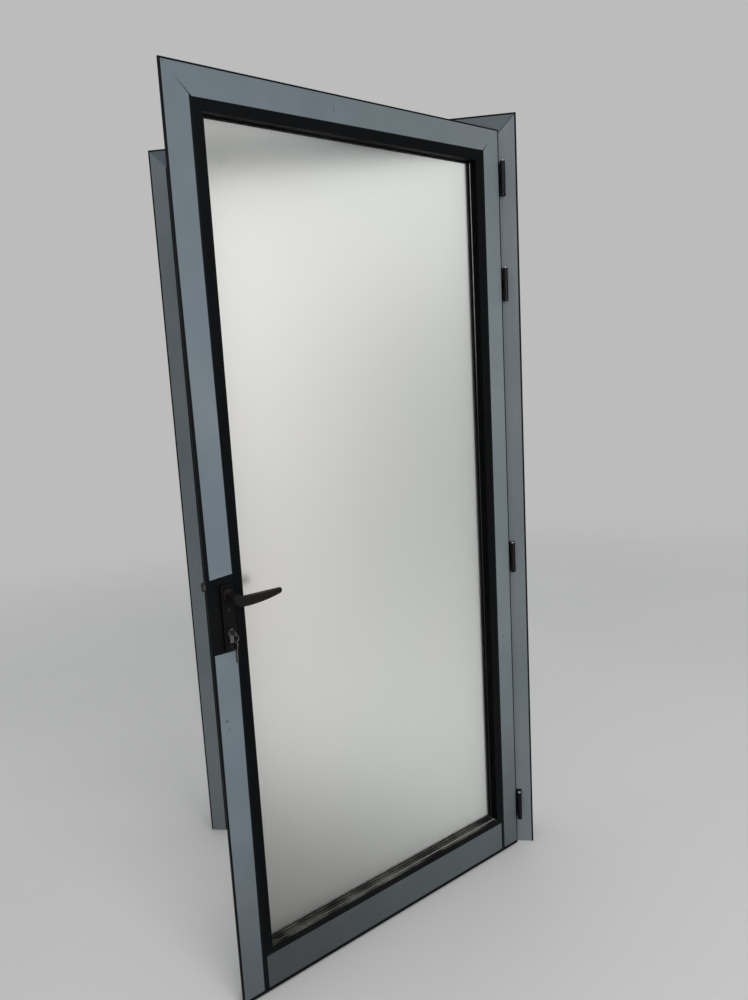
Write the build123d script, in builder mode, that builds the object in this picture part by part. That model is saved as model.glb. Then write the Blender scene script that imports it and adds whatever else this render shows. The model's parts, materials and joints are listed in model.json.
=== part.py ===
from build123d import *
import os
from math import cos, radians, sin

# Glass entrance door with its frame: one outward-opening leaf of black hollow aluminium sections with an
# obscured glass pane, hung on four butt hinges in a three-sided mitred frame, and shown standing open.
#
# Millimetres. X runs along the wall to the right, Y into the wall, Z up. The origin is at the floor, on the
# side face of the hinge jamb that meets the wall's opening, in the plane of the wall's surface.
# Everything on the leaf is drawn with the leaf closed and then turned open about the hinge axis.

os.makedirs("parts", exist_ok=True)

# Frame: overall size and section
FRAME_WIDTH = 1080.0
FRAME_HEIGHT = 2200.0
COVER_LAP = 30.0            # the face laps this far over the wall
CHAMBER_WIDTH = 27.0        # from the wall's opening to the jamb's inner face
FRAME_PROUD = 12.0          # the face stands this far in front of the wall
FRAME_DEPTH = 100.0
FRAME_WALL = 2.0
STOP_REACH = 17.0           # the door stop's projection from the jamb's inner face
STOP_THICK = 12.0
STOP_GAP = 4.0              # from the closed leaf's back to the stop, taken up by the gasket

# Leaf: section and the gaps round it
FACE_LAP = 10.0             # the leaf's flange laps this far over the frame's face
SEAL_GAP = 6.0              # from the frame's face to the back of the flange
FLANGE_THICK = 6.0
FLANGE_REACH = 22.0         # from the leaf's edge to its body
LEAF_DEPTH = 50.0
LEAF_WALL = 2.0
STILE_FACE = 66.0           # face width of the stiles and the top rail
BOTTOM_RAIL_FACE = 90.0
FLOOR_GAP = 6.0
EDGE_RADIUS = 0.8
REAR_LEG = 22.0             # the glazing rebate's back leg
REAR_LEG_THICK = 4.0
REST_ANGLE = 46.4           # how far the leaf stands open
OVERLAP_GROOVE = (3.0, 9.0) # the flange gasket's groove, from the leaf's edge
GROOVE_FLOOR = 2.5

# Glazing
GLASS_THICK = 8.0
GLASS_SET_BACK = 34.0       # from the leaf's face to the pane
GLASS_EDGE_GAP = 6.0
GLASS_GROUND = 0.8          # the ground edge's chamfer
BEAD_WIDTH = 24.5
BEAD_WALL = 1.6
BEAD_STEP_DEPTH = 24.0
BEAD_STEP = 2.5
FRONT_GASKET = 3.0
FRONT_GASKET_WIDTH = 9.0
REAR_GASKET_WIDTH = 10.0
GASKET_LIP = 0.5            # gaskets show this far past the edge that they line
STOP_GASKET_WIDTH = 4.5

# Protective film on the faces
FILM = 0.3
FRAME_FILM_INSET = 5.0
FRAME_FILM_STOP = 2.0       # from the film to the frame face's inner edge
LEAF_FILM_INSET = 4.5
LEAF_FILM_STOP = 5.5        # from the film to the bead
FILM_FOOT = 16.0            # the leaf's films end this high above the floor
RAIL_FILM_SIDE = 1.5
RAIL_FILM_LAP = 5.7         # the rail's film laps this far over the bead
MITRE_SLIT = 0.9            # the slit between two films at a mitre
MITRE_JOINED = 0.4          # this share of the mitre, from the outer corner, is closed
CUT_OUT_BELOW = 5.0         # the film is cut away from below the handle plate
CUT_OUT_ABOVE = 17.0        # to above it

# Hinges
HINGE_TOP = 127.0           # the top hinge's middle, from the leaf's top
HINGE_PAIR = 288.0          # from the top hinge to the second
HINGE_MIDDLE = 934.0        # the third hinge, from the leaf's foot
HINGE_FOOT = 127.0          # the lowest hinge, from the leaf's foot
HINGE_HEIGHT = 89.0
HINGE_THICK = 2.2
KNUCKLE_RADIUS = 7.0
AXIS_PROUD = 7.0            # the hinge axis stands this far in front of the leaf's face
AXIS_OUT = 6.0              # and this far outside the leaf's edge
KNUCKLE_GAP = 0.3
PIN_RADIUS = 3.0
PIN_CLEARANCE = 0.05
PIN_CAP_RADIUS = 5.2
PIN_CAP_HEIGHT = 2.6
PIN_CAP_ROUND = 1.8
HINGE_WING = 36.0           # the wing's length along the jamb and the leaf's edge
KNUCKLE_CLEAR = 9.0         # half-width of the gap round the other wing's knuckle
SCREW_RADIUS = 2.1
SCREW_HOLE = 2.2
SCREW_HEAD = 4.4
SCREW_LENGTH = 14.0
HINGE_SCREW_PITCH = 30.0
HINGE_SCREW_BACK = 21.0     # the screws, from the frame wing's front

# Lock and handle
HANDLE_LINE = 46.0          # the spindle and the cylinder, from the leaf's latch edge
SPINDLE_HEIGHT = 1032.0
CYLINDER_DROP = 88.0
PLATE_WIDTH = 30.0
PLATE_HEIGHT = 154.0
PLATE_THICK = 9.0
PLATE_TOP = 22.0            # from the spindle up to the plate's top
PLATE_CORNER = 5.0
PLATE_EDGE = 2.5
PLATE_SCREW_DROP = 35.0     # the upper through screw, below the spindle
PLATE_SCREW_INSET = 9.0     # the lower one, from the plate's foot
PLATE_SCREW_HOLE = 2.7
PLATE_SCREW_SINK = 4.8      # the countersink's radius
PLATE_FLOOR = 3.0           # the outer plate's wall over the ends of the screws
SPINDLE_SIDE = 8.0
SPINDLE_PLAY = 0.1
SPINDLE_DEPTH = 26.0        # the spindle's length inside a lever
LEVER_PROJECTION = 52.0
LEVER_LENGTH = 115.0
LEVER_GAP = 0.4
COLLAR_RADIUS = 13.0
COLLAR_THICK = 4.0
COLLAR_SLOPE = 5.0          # the collar runs down to the neck over this length
NECK_RADIUS = 9.5
NECK_ROUND = 3.0
BLADE_TOP = 2.4             # the blade's level top edge, above the spindle's axis
BLADE_TALL = 25.0           # where the blade is tallest
BLADE_WIDEST = 22.0         # and how far from the spindle that is
BLADE_ROOT = 8.0            # the blade starts this far behind the spindle's axis
BLADE_ROOT_THICK = 15.0
BLADE_TIP_THICK = 9.5
BLADE_NOSE = 6.0            # length of the rounded tip
CASE_THICK = 16.0
CASE_WALL = 1.5
CASE_BACK = 63.0            # from the leaf's edge to the back of the lock case
CASE_TOP = 38.0             # from the spindle
CASE_BOTTOM = 130.0         # from the spindle
FACEPLATE = 2.5
FACEPLATE_WIDTH = 24.0
FACEPLATE_CORNER = 3.0
FACEPLATE_OVER = 22.0       # the faceplate runs this far past the case
BOLT_THICK = 12.0
BOLT_PLAY = 0.3
BOLT_EASE = 0.8             # the deadbolt's chamfer
LATCH_HEIGHT = 13.0
LATCH_RISE = 17.0           # latch's middle above the spindle
LATCH_TIP = 7.0             # latch's tip, from the leaf's edge
LATCH_LENGTH = 37.0
LATCH_LAND = 2.0            # the flat left at the bevel's tip
DEADBOLT_HEIGHT = 24.0
DEADBOLT_DROP = 52.0        # deadbolt's middle below the spindle
DEADBOLT_LENGTH = 31.0
HUB_RADIUS = 10.0
HUB_PLAY = 0.1
CYLINDER_ROUND = 8.5
CYLINDER_TAB = 10.0
CYLINDER_TALL = 33.0
CYLINDER_PROUD = 3.0        # past the handle plates
PLUG_RADIUS = 6.5
PLUG_CLEARANCE = 0.05
CAM_RADIUS = 13.0
CAM_THICK = 8.0
CAM_WIDTH = 7.0
CAM_PLAY = 0.5
KEYWAY_DEPTH = 12.0         # the outer end's keyway
KEY_THICK = 2.0
KEY_SLOT = 0.1              # play of the key in its keyway
KEY_BLADE = 8.0
KEY_BLADE_LENGTH = 29.0
KEY_TIP = 1.5
KEY_SHOULDER = 3.0
KEY_SHOULDER_WIDE = 12.0
KEY_BOW = 20.0
KEY_BOW_TALL = 18.0
KEY_HOLE = 3.0
KEY_RIM = 2.0               # from the hole to the bow's edge
RING_RADIUS = 8.0
RING_WIRE = 0.8
LOOSE_GAP = 0.12            # where a hanging piece rests on its carrier

# Fixings
FRAME_SCREW_HOLE = 3.25
FRAME_SCREW_END = 200.0     # the first and last screw, from the jamb's ends
FRAME_SCREWS = 4
FRAME_SCREW_DEPTH = 64.0    # from the frame's face
FRAME_CLEAT_LEG = 80.0
LEAF_CLEAT_LEG = 28.0
RAIL_BLOCK = 60.0
CLEAT_CLEAR = 0.3
CLEAT_DEPTH = 30.0
STRIKE_THICK = 2.4
STRIKE_WIDTH = 26.0
STRIKE_OVER = 22.0
STRIKE_CORNER = 4.0
STRIKE_PLAY = 1.0           # round the bolts, in the jamb and the strike plate
BRUSH_REACH = 4.5
BRUSH_THICK = 5.0
BRUSH_CARRIER = 8.0
BRUSH_CARRIER_DEPTH = 5.0
BLOCK_LENGTH = 80.0
BLOCK_INSET = 120.0         # the blocks' middles, from the pane's sides
BLOCK_PROUD = 2.0           # past the pane's faces
OVERCUT = 1.0               # cutting solids run this far past what they cut

# Places worked out from the sizes
FRAME_FACE = COVER_LAP + CHAMBER_WIDTH
HINGE_OUT = COVER_LAP                                   # hinge jamb's outer edge
LATCH_OUT = COVER_LAP - FRAME_WIDTH                     # latch jamb's outer edge
FACE_Y = -FRAME_PROUD                                   # the frame's face
INNER_HINGE = HINGE_OUT - FRAME_FACE
INNER_LATCH = LATCH_OUT + FRAME_FACE
LEAF_Y = FACE_Y - SEAL_GAP - FLANGE_THICK               # the closed leaf's face
LEAF_BACK = LEAF_Y + LEAF_DEPTH
LEAF_HINGE = INNER_HINGE + FACE_LAP                     # the closed leaf's edges
LEAF_LATCH = INNER_LATCH - FACE_LAP
LEAF_TOP = FRAME_HEIGHT - FRAME_FACE + FACE_LAP
LEAF_FOOT = FLOOR_GAP
HINGE_CENTRES = (
    LEAF_TOP - HINGE_TOP, LEAF_TOP - HINGE_TOP - HINGE_PAIR, LEAF_FOOT + HINGE_MIDDLE, LEAF_FOOT + HINGE_FOOT,
)
FRAME_SCREW_PITCH = (FRAME_HEIGHT - 2 * FRAME_SCREW_END) / (FRAME_SCREWS - 1)
FRAME_SCREW_HEIGHTS = [FRAME_SCREW_END + k * FRAME_SCREW_PITCH for k in range(FRAME_SCREWS)]
STOP_FRONT = LEAF_DEPTH - FLANGE_THICK - SEAL_GAP + STOP_GAP   # from the frame's face
AXIS_X = LEAF_HINGE + AXIS_OUT
AXIS_Y = LEAF_Y - AXIS_PROUD
LATCH_INSIDE = LEAF_LATCH + STILE_FACE                  # the rebate for the pane
HINGE_INSIDE = LEAF_HINGE - STILE_FACE
TOP_INSIDE = LEAF_TOP - STILE_FACE
FOOT_INSIDE = LEAF_FOOT + BOTTOM_RAIL_FACE
BEAD_DEPTH = GLASS_SET_BACK - FRONT_GASKET
GLASS_Y = LEAF_Y + GLASS_SET_BACK
HANDLE_X = LEAF_LATCH + HANDLE_LINE
CYLINDER_Z = SPINDLE_HEIGHT - CYLINDER_DROP
CASE_Y = LEAF_Y + LEAF_DEPTH / 2 + 1.0                  # the lock's middle plane
PLATE_HIGH = SPINDLE_HEIGHT + PLATE_TOP
PLATE_LOW = PLATE_HIGH - PLATE_HEIGHT
PLATE_SCREWS = (SPINDLE_HEIGHT - PLATE_SCREW_DROP, PLATE_LOW + PLATE_SCREW_INSET)
LATCH_Z = SPINDLE_HEIGHT + LATCH_RISE
DEADBOLT_Z = SPINDLE_HEIGHT - DEADBOLT_DROP

OPENED = Location((AXIS_X, AXIS_Y, 0), (0, 0, REST_ANGLE)) * Location((-AXIS_X, -AXIS_Y, 0))
FIXED = Location()


def save(builder, node, place=FIXED):
    """Labels a finished piece, puts it at its place and writes it."""
    piece = builder.part.moved(place)
    piece.label = node
    export_step(piece, f"parts/{node}.step")


def ring(low_x, high_x, low_z, high_z, width):
    """Draws a rectangular band on the current sketch, its outer edges given, in the wall's plane."""
    with Locations(((low_x + high_x) / 2, (low_z + high_z) / 2)):
        Rectangle(high_x - low_x, high_z - low_z)
        Rectangle(high_x - low_x - 2 * width, high_z - low_z - 2 * width, mode=Mode.SUBTRACT)


def wall_plane(y):
    """A sketch plane facing the viewer at depth y: its x is X and its y is Z, and +amount comes forward."""
    return Plane(origin=(0, y, 0), x_dir=(1, 0, 0), z_dir=(0, -1, 0))


def box(x, y, z, mode=Mode.ADD):
    """A block between pairs of limits in the current part."""
    with Locations(((x[0] + x[1]) / 2, (y[0] + y[1]) / 2, (z[0] + z[1]) / 2)):
        Box(abs(x[1] - x[0]), abs(y[1] - y[0]), abs(z[1] - z[0]), mode=mode)


def across(x, y, heights, turn=90):
    """Places at the given heights for holes bored along X: turn 90 bores towards -X, -90 towards +X."""
    return [Location((x, y, z), (0, turn, 0)) for z in heights]


def mitre(x, z, toward):
    """A cutting plane through an upper corner: toward +1 keeps a right-hand upright, -1 a left-hand one."""
    return Plane(origin=(x, 0, z), z_dir=(toward, 0, -1))


# Frame sections: a runs from the outer edge inwards, b from the face backwards
def frame_outline():
    inner, stop, back = FRAME_FACE, FRAME_FACE + STOP_REACH, FRAME_DEPTH
    return [
        (0, 0), (inner, 0), (inner, STOP_FRONT), (stop, STOP_FRONT), (stop, STOP_FRONT + STOP_THICK),
        (inner, STOP_FRONT + STOP_THICK), (inner, back), (COVER_LAP, back), (COVER_LAP, FRAME_WALL),
        (FRAME_WALL, FRAME_WALL), (FRAME_WALL, FRAME_PROUD), (0, FRAME_PROUD),
    ]


def frame_chambers():
    w = FRAME_WALL
    left, right, back = COVER_LAP + w, FRAME_FACE - w, FRAME_DEPTH - w
    main = [(left, w), (right, w), (right, back), (left, back)]
    low, high, tip = STOP_FRONT + w, STOP_FRONT + STOP_THICK - w, FRAME_FACE + STOP_REACH - w
    return [main, [(FRAME_FACE, low), (tip, low), (tip, high), (FRAME_FACE, high)]]


# Leaf sections: a runs from the leaf's outer edge inwards, b from its face backwards
def leaf_outline():
    leg, reach = LEAF_DEPTH - REAR_LEG_THICK, STILE_FACE + REAR_LEG
    return [
        (0, 0), (STILE_FACE, 0), (STILE_FACE, leg), (reach, leg), (reach, LEAF_DEPTH),
        (FLANGE_REACH, LEAF_DEPTH), (FLANGE_REACH, FLANGE_THICK), (0, FLANGE_THICK),
    ]


def leaf_chambers():
    w = LEAF_WALL
    left, right, back = FLANGE_REACH + w, STILE_FACE - w, LEAF_DEPTH - w
    body = [(left, w), (right, w), (right, back), (left, back)]
    near, far = OVERLAP_GROOVE
    return [body, [(near, GROOVE_FLOOR), (far, GROOVE_FLOOR), (far, FLANGE_THICK), (near, FLANGE_THICK)]]


def bottom_rail_outline():
    leg, face = LEAF_DEPTH - REAR_LEG_THICK, BOTTOM_RAIL_FACE
    reach = face + REAR_LEG
    return [(0, 0), (face, 0), (face, leg), (reach, leg), (reach, LEAF_DEPTH), (0, LEAF_DEPTH)]


def bottom_rail_chambers():
    w, middle = LEAF_WALL, BOTTOM_RAIL_FACE / 2
    front, back = (LEAF_DEPTH - BRUSH_CARRIER) / 2, (LEAF_DEPTH + BRUSH_CARRIER) / 2
    deep = LEAF_DEPTH - w
    chambers = [(BRUSH_CARRIER_DEPTH + w, middle - w / 2), (middle + w / 2, BOTTOM_RAIL_FACE - w)]
    return [[(low, w), (high, w), (high, deep), (low, deep)] for low, high in chambers] + [
        [(0, front), (BRUSH_CARRIER_DEPTH, front), (BRUSH_CARRIER_DEPTH, back), (0, back)],
    ]


def bead_outline():
    """The bead's a runs from the profile's inner edge towards the pane."""
    wide, step = BEAD_WIDTH + BEAD_STEP, BEAD_STEP_DEPTH
    return [(0, 0), (BEAD_WIDTH, 0), (BEAD_WIDTH, step), (wide, step), (wide, BEAD_DEPTH), (0, BEAD_DEPTH)]


def bead_chamber():
    """The bead's one chamber follows its outline a wall's thickness inside."""
    w = BEAD_WALL
    narrow, wide, step, deep = BEAD_WIDTH - w, BEAD_WIDTH + BEAD_STEP - w, BEAD_STEP_DEPTH + w, BEAD_DEPTH - w
    return [[(w, w), (narrow, w), (narrow, step), (wide, step), (wide, deep), (w, deep)]]


def outlined(plane, points):
    """The face inside a closed run of straight lines."""
    with BuildSketch(plane) as drawing:
        with BuildLine():
            Polyline(*points, close=True)
        make_face()
    return drawing.sketch


def section(plane, outline, chambers, place, soft):
    """The face of a hollow section: place turns (a, b) into sketch points, soft lists the rounded corners."""
    with BuildSketch(plane) as drawing:
        with BuildLine():
            Polyline(*[place(a, b) for a, b in outline], close=True)
        make_face()
        corners = [Vector(*place(a, b)) for a, b in soft]
        rounded = [v for v in vertices() if any((Vector(v.X, v.Y) - c).length < 0.01 for c in corners)]
        if rounded:
            fillet(rounded, EDGE_RADIUS)
        for chamber in chambers:
            with BuildLine():
                Polyline(*[place(a, b) for a, b in chamber], close=True)
            make_face(mode=Mode.SUBTRACT)
    return drawing.sketch


def upright(outline, chambers, edge_x, toward, face_y, foot, top, soft=()):
    """An upright bar in the current part: edge_x is its outer edge and toward the way it runs inwards."""
    def place(a, b):
        return edge_x + toward * a, face_y + b

    extrude(section(Plane.XY.offset(foot), outline, chambers, place, soft), amount=top - foot)


def level_bar(outline, chambers, edge_z, toward, face_y, left, right, soft=()):
    """A level bar in the current part: edge_z is its outer edge and toward the way it runs inwards."""
    def place(a, b):
        return face_y + b, edge_z + toward * a

    extrude(section(Plane.YZ.offset(left), outline, chambers, place, soft), amount=right - left)


HINGE_SCREWS = [z + k * HINGE_SCREW_PITCH for z in HINGE_CENTRES for k in (-1, 0, 1)]
WING_Y = FACE_Y - HINGE_THICK                           # frame wing's front
LEAF_WING_Y = LEAF_Y + FLANGE_THICK + HINGE_THICK       # leaf wing's back
LEAF_BODY_EDGE = LEAF_HINGE - FLANGE_REACH
HINGE_SCREW_Y = WING_Y + HINGE_SCREW_BACK
STOP_TIP = FRAME_FACE + STOP_REACH
FRAME_SOFT = [(0, 0), (FRAME_FACE, 0), (STOP_TIP, STOP_FRONT), (STOP_TIP, STOP_FRONT + STOP_THICK)]
LEAF_SOFT = [(0, 0), (0, FLANGE_THICK), (FLANGE_REACH, LEAF_DEPTH), (STILE_FACE + REAR_LEG, LEAF_DEPTH)]

# Hinge jamb: mitred at the top, with its fixing holes and the hinges' screw holes
with BuildPart() as hinge_jamb:
    upright(frame_outline(), frame_chambers(), HINGE_OUT, -1, FACE_Y, 0, FRAME_HEIGHT, FRAME_SOFT)
    split(bisect_by=mitre(HINGE_OUT, FRAME_HEIGHT, 1), keep=Keep.TOP)
    with Locations(*across(-CHAMBER_WIDTH / 2, FACE_Y + FRAME_SCREW_DEPTH, FRAME_SCREW_HEIGHTS)):
        Cylinder(FRAME_SCREW_HOLE, 2 * CHAMBER_WIDTH, mode=Mode.SUBTRACT)
    with Locations(*across(INNER_HINGE, HINGE_SCREW_Y, HINGE_SCREWS)):
        Cylinder(SCREW_HOLE, 4 * FRAME_WALL, mode=Mode.SUBTRACT)
save(hinge_jamb, "hinge_jamb")

# Latch jamb: the same bar for the other side, cut for the latch and the deadbolt behind the strike plate
BOLT_CUT = (CASE_Y - BOLT_THICK / 2 - STRIKE_PLAY, CASE_Y + BOLT_THICK / 2 + STRIKE_PLAY)
LATCH_CUT = (LATCH_Z - LATCH_HEIGHT / 2 - STRIKE_PLAY, LATCH_Z + LATCH_HEIGHT / 2 + STRIKE_PLAY)
BOLT_REACH = DEADBOLT_HEIGHT / 2 + STRIKE_PLAY
DEADBOLT_CUT = (DEADBOLT_Z - BOLT_REACH, DEADBOLT_Z + BOLT_REACH)
STRIKE_LOW = DEADBOLT_CUT[0] - STRIKE_OVER
STRIKE_HIGH = LATCH_CUT[1] + STRIKE_OVER
STRIKE_SCREWS = (STRIKE_LOW + STRIKE_OVER / 2, STRIKE_HIGH - STRIKE_OVER / 2)
with BuildPart() as latch_jamb:
    upright(frame_outline(), frame_chambers(), LATCH_OUT, 1, FACE_Y, 0, FRAME_HEIGHT, FRAME_SOFT)
    split(bisect_by=mitre(LATCH_OUT, FRAME_HEIGHT, -1), keep=Keep.TOP)
    with Locations(*across(INNER_LATCH - CHAMBER_WIDTH / 2, FACE_Y + FRAME_SCREW_DEPTH, FRAME_SCREW_HEIGHTS)):
        Cylinder(FRAME_SCREW_HOLE, 2 * CHAMBER_WIDTH, mode=Mode.SUBTRACT)
    for cut in (LATCH_CUT, DEADBOLT_CUT):
        wall = (INNER_LATCH - FRAME_WALL - OVERCUT, INNER_LATCH + OVERCUT)
        box(wall, BOLT_CUT, cut, mode=Mode.SUBTRACT)
    with Locations(*across(INNER_LATCH, CASE_Y, STRIKE_SCREWS)):
        Cylinder(SCREW_HOLE, 4 * FRAME_WALL, mode=Mode.SUBTRACT)
save(latch_jamb, "latch_jamb")

# Head: the same section laid level between the two mitres
with BuildPart() as head_jamb:
    level_bar(frame_outline(), frame_chambers(), FRAME_HEIGHT, -1, FACE_Y, LATCH_OUT, HINGE_OUT, FRAME_SOFT)
    split(bisect_by=mitre(HINGE_OUT, FRAME_HEIGHT, 1), keep=Keep.BOTTOM)
    split(bisect_by=mitre(LATCH_OUT, FRAME_HEIGHT, -1), keep=Keep.BOTTOM)
save(head_jamb, "head_jamb")


def corner_cleat(edge_x, edge_z, toward, near, far, leg, y):
    """An angle bracket inside a mitred corner, drawn in the wall's plane."""
    outer_x, inner_x = edge_x + toward * near, edge_x + toward * far
    outer_z, inner_z = edge_z - near, edge_z - far
    end_x, end_z = inner_x + toward * leg, inner_z - leg
    points = [
        (outer_x, outer_z), (outer_x, end_z), (inner_x, end_z),
        (inner_x, inner_z), (end_x, inner_z), (end_x, outer_z),
    ]
    extrude(outlined(wall_plane(y), points), amount=-CLEAT_DEPTH)


# Angle brackets crimped inside the frame's two mitred corners
with BuildPart() as frame_corner_cleats:
    near = COVER_LAP + FRAME_WALL + CLEAT_CLEAR
    far = FRAME_FACE - FRAME_WALL - CLEAT_CLEAR
    corner_cleat(HINGE_OUT, FRAME_HEIGHT, -1, near, far, FRAME_CLEAT_LEG, FACE_Y + FRAME_WALL + CLEAT_CLEAR)
    corner_cleat(LATCH_OUT, FRAME_HEIGHT, 1, near, far, FRAME_CLEAT_LEG, FACE_Y + FRAME_WALL + CLEAT_CLEAR)
save(frame_corner_cleats, "frame_corner_cleats")


def gasket_run(edge_in, width, y, depth, foot):
    """A three-sided strip round the doorway, its inner edge edge_in inside the frame's outer edges."""
    low_x, high_x, top = LATCH_OUT + edge_in, HINGE_OUT - edge_in, FRAME_HEIGHT - edge_in
    left, right, crown = low_x - width, high_x + width, top + width
    points = [
        (low_x, foot), (low_x, top), (high_x, top), (high_x, foot),
        (right, foot), (right, crown), (left, crown), (left, foot),
    ]
    extrude(outlined(wall_plane(y), points), amount=-depth)


# Rubber gasket on the door stop, 0.3 mm short of the closed leaf
with BuildPart() as frame_gasket:
    y = FACE_Y + STOP_FRONT - STOP_GAP + KNUCKLE_GAP
    gasket_run(STOP_TIP - GASKET_LIP, STOP_GASKET_WIDTH, y, STOP_GAP - KNUCKLE_GAP, LEAF_FOOT)
save(frame_gasket, "frame_gasket")

# Strike plate: a pressed steel plate screwed over the two bolt cuts
with BuildPart() as strike_plate:
    width = (CASE_Y - STRIKE_WIDTH / 2, CASE_Y + STRIKE_WIDTH / 2)
    box((INNER_LATCH, INNER_LATCH + STRIKE_THICK), width, (STRIKE_LOW, STRIKE_HIGH))
    fillet(strike_plate.edges().filter_by(Axis.X), STRIKE_CORNER)
    for cut in (LATCH_CUT, DEADBOLT_CUT):
        through = (INNER_LATCH - OVERCUT, INNER_LATCH + STRIKE_THICK + OVERCUT)
        box(through, BOLT_CUT, cut, mode=Mode.SUBTRACT)
    with Locations(*across(INNER_LATCH + STRIKE_THICK, CASE_Y, STRIKE_SCREWS)):
        CounterSinkHole(SCREW_HOLE, SCREW_HEAD, depth=STRIKE_THICK, counter_sink_angle=90)
save(strike_plate, "strike_plate")


def screw(x, y, z, way):
    """A countersunk screw along X: its head's face is at x and way is where its tip points."""
    cone = SCREW_HEAD - SCREW_RADIUS
    points = [
        (0, 0), (SCREW_HEAD - PIN_CLEARANCE, 0), (SCREW_RADIUS, -way * cone),
        (SCREW_RADIUS, -way * SCREW_LENGTH), (0, -way * SCREW_LENGTH),
    ]
    half = outlined(Plane(origin=(x, y, z), x_dir=(0, 1, 0), z_dir=(0, 0, 1)), points)
    revolve(half, axis=Axis((x, y, z), (1, 0, 0)))


# Screws that hold the hinges and the strike plate to the frame
with BuildPart() as frame_screws:
    for z in HINGE_SCREWS:
        screw(INNER_HINGE - HINGE_THICK, HINGE_SCREW_Y, z, 1)
    for z in STRIKE_SCREWS:
        screw(INNER_LATCH + STRIKE_THICK, CASE_Y, z, -1)
save(frame_screws, "frame_screws")


def hinge_wing(points, z, knuckles, bolt_y, outer_x, head_way):
    """A cranked wing with its knuckles: knuckles lists their (low, high) above the hinge's foot."""
    with BuildSketch(Plane.XY.offset(z - HINGE_HEIGHT / 2)) as wing:
        with BuildLine():
            Polyline(*points, close=True)
        make_face()
        with Locations((AXIS_X, AXIS_Y)):
            Circle(KNUCKLE_RADIUS)
    extrude(wing.sketch, amount=HINGE_HEIGHT)
    edges_z = [z - HINGE_HEIGHT / 2 + k for pair in knuckles for k in pair]
    free = [(z - HINGE_HEIGHT / 2 - OVERCUT, edges_z[0])]
    free += [(edges_z[i], edges_z[i + 1]) for i in range(1, len(edges_z) - 1, 2)]
    free += [(edges_z[-1], z + HINGE_HEIGHT / 2 + OVERCUT)]
    across_axis = (AXIS_X - KNUCKLE_CLEAR, AXIS_X + KNUCKLE_CLEAR)
    for low, high in free:
        if high - low > 2 * OVERCUT:
            box(across_axis, (AXIS_Y - KNUCKLE_CLEAR, FACE_Y + OVERCUT), (low, high), mode=Mode.SUBTRACT)
    with Locations((AXIS_X, AXIS_Y, z)):
        Cylinder(PIN_RADIUS + PIN_CLEARANCE, HINGE_HEIGHT + 2 * OVERCUT, mode=Mode.SUBTRACT)
    holes = [z + k * HINGE_SCREW_PITCH for k in (-1, 0, 1)]
    with Locations(*across(outer_x, bolt_y, holes, head_way * 90)):
        CounterSinkHole(SCREW_HOLE, SCREW_HEAD, depth=HINGE_THICK, counter_sink_angle=90)


KNUCKLE = HINGE_HEIGHT / 3
TANGENT = AXIS_X + KNUCKLE_RADIUS
for number, z in enumerate(HINGE_CENTRES, 1):
    # Frame wing: two knuckles, cranked under the flange and along the jamb's inner face
    with BuildPart() as hinge_frame_leaf:
        points = [
            (TANGENT, AXIS_Y), (TANGENT, FACE_Y), (INNER_HINGE, FACE_Y), (INNER_HINGE, WING_Y + HINGE_WING),
            (INNER_HINGE - HINGE_THICK, WING_Y + HINGE_WING), (INNER_HINGE - HINGE_THICK, WING_Y),
            (TANGENT - HINGE_THICK, WING_Y), (TANGENT - HINGE_THICK, AXIS_Y),
        ]
        knuckles = [(0, KNUCKLE), (2 * KNUCKLE, HINGE_HEIGHT)]
        hinge_wing(points, z, knuckles, HINGE_SCREW_Y, INNER_HINGE - HINGE_THICK, -1)
    save(hinge_frame_leaf, f"hinge_frame_leaf_{number}")

    # Door wing: the middle knuckle, cranked behind the flange and along the leaf's edge
    with BuildPart() as hinge_door_leaf:
        back = LEAF_WING_Y
        end = LEAF_WING_Y - HINGE_THICK + HINGE_WING
        outer_x = LEAF_BODY_EDGE + HINGE_THICK
        points = [
            (TANGENT, AXIS_Y), (TANGENT, back), (outer_x, back), (outer_x, end),
            (LEAF_BODY_EDGE, end), (LEAF_BODY_EDGE, back - HINGE_THICK),
            (TANGENT - HINGE_THICK, back - HINGE_THICK), (TANGENT - HINGE_THICK, AXIS_Y),
        ]
        knuckles = [(KNUCKLE + KNUCKLE_GAP, 2 * KNUCKLE - KNUCKLE_GAP)]
        hinge_wing(points, z, knuckles, HINGE_SCREW_Y, outer_x, 1)
    save(hinge_door_leaf, f"hinge_door_leaf_{number}", OPENED)

    # Pin with its bright cap on the top knuckle
    with BuildPart() as hinge_pin:
        with Locations((AXIS_X, AXIS_Y, z)):
            Cylinder(PIN_RADIUS, HINGE_HEIGHT)
        with Locations((AXIS_X, AXIS_Y, z + HINGE_HEIGHT / 2 + PIN_CAP_HEIGHT / 2)):
            Cylinder(PIN_CAP_RADIUS, PIN_CAP_HEIGHT)
        fillet(hinge_pin.edges().sort_by(Axis.Z)[-1], PIN_CAP_ROUND)
    save(hinge_pin, f"hinge_pin_{number}")

# Lock positions on the latch stile
STILE_EDGE = LEAF_LATCH + FLANGE_REACH                  # where the lock's faceplate sits
CASE_LOW = SPINDLE_HEIGHT - CASE_BOTTOM
CASE_HIGH = SPINDLE_HEIGHT + CASE_TOP
CASE_FRONT = CASE_Y - CASE_THICK / 2
CASE_REAR = CASE_Y + CASE_THICK / 2


def cylinder_profile(grow=0.0):
    """Draws the lock cylinder's keyhole-shaped outline on the current sketch."""
    radius = CYLINDER_ROUND + grow
    tab = CYLINDER_TALL - CYLINDER_ROUND + grow
    with Locations((HANDLE_X, CYLINDER_Z)):
        Circle(radius)
    with Locations((HANDLE_X, CYLINDER_Z - tab / 2)):
        Rectangle(CYLINDER_TAB + 2 * grow, tab)


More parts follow.
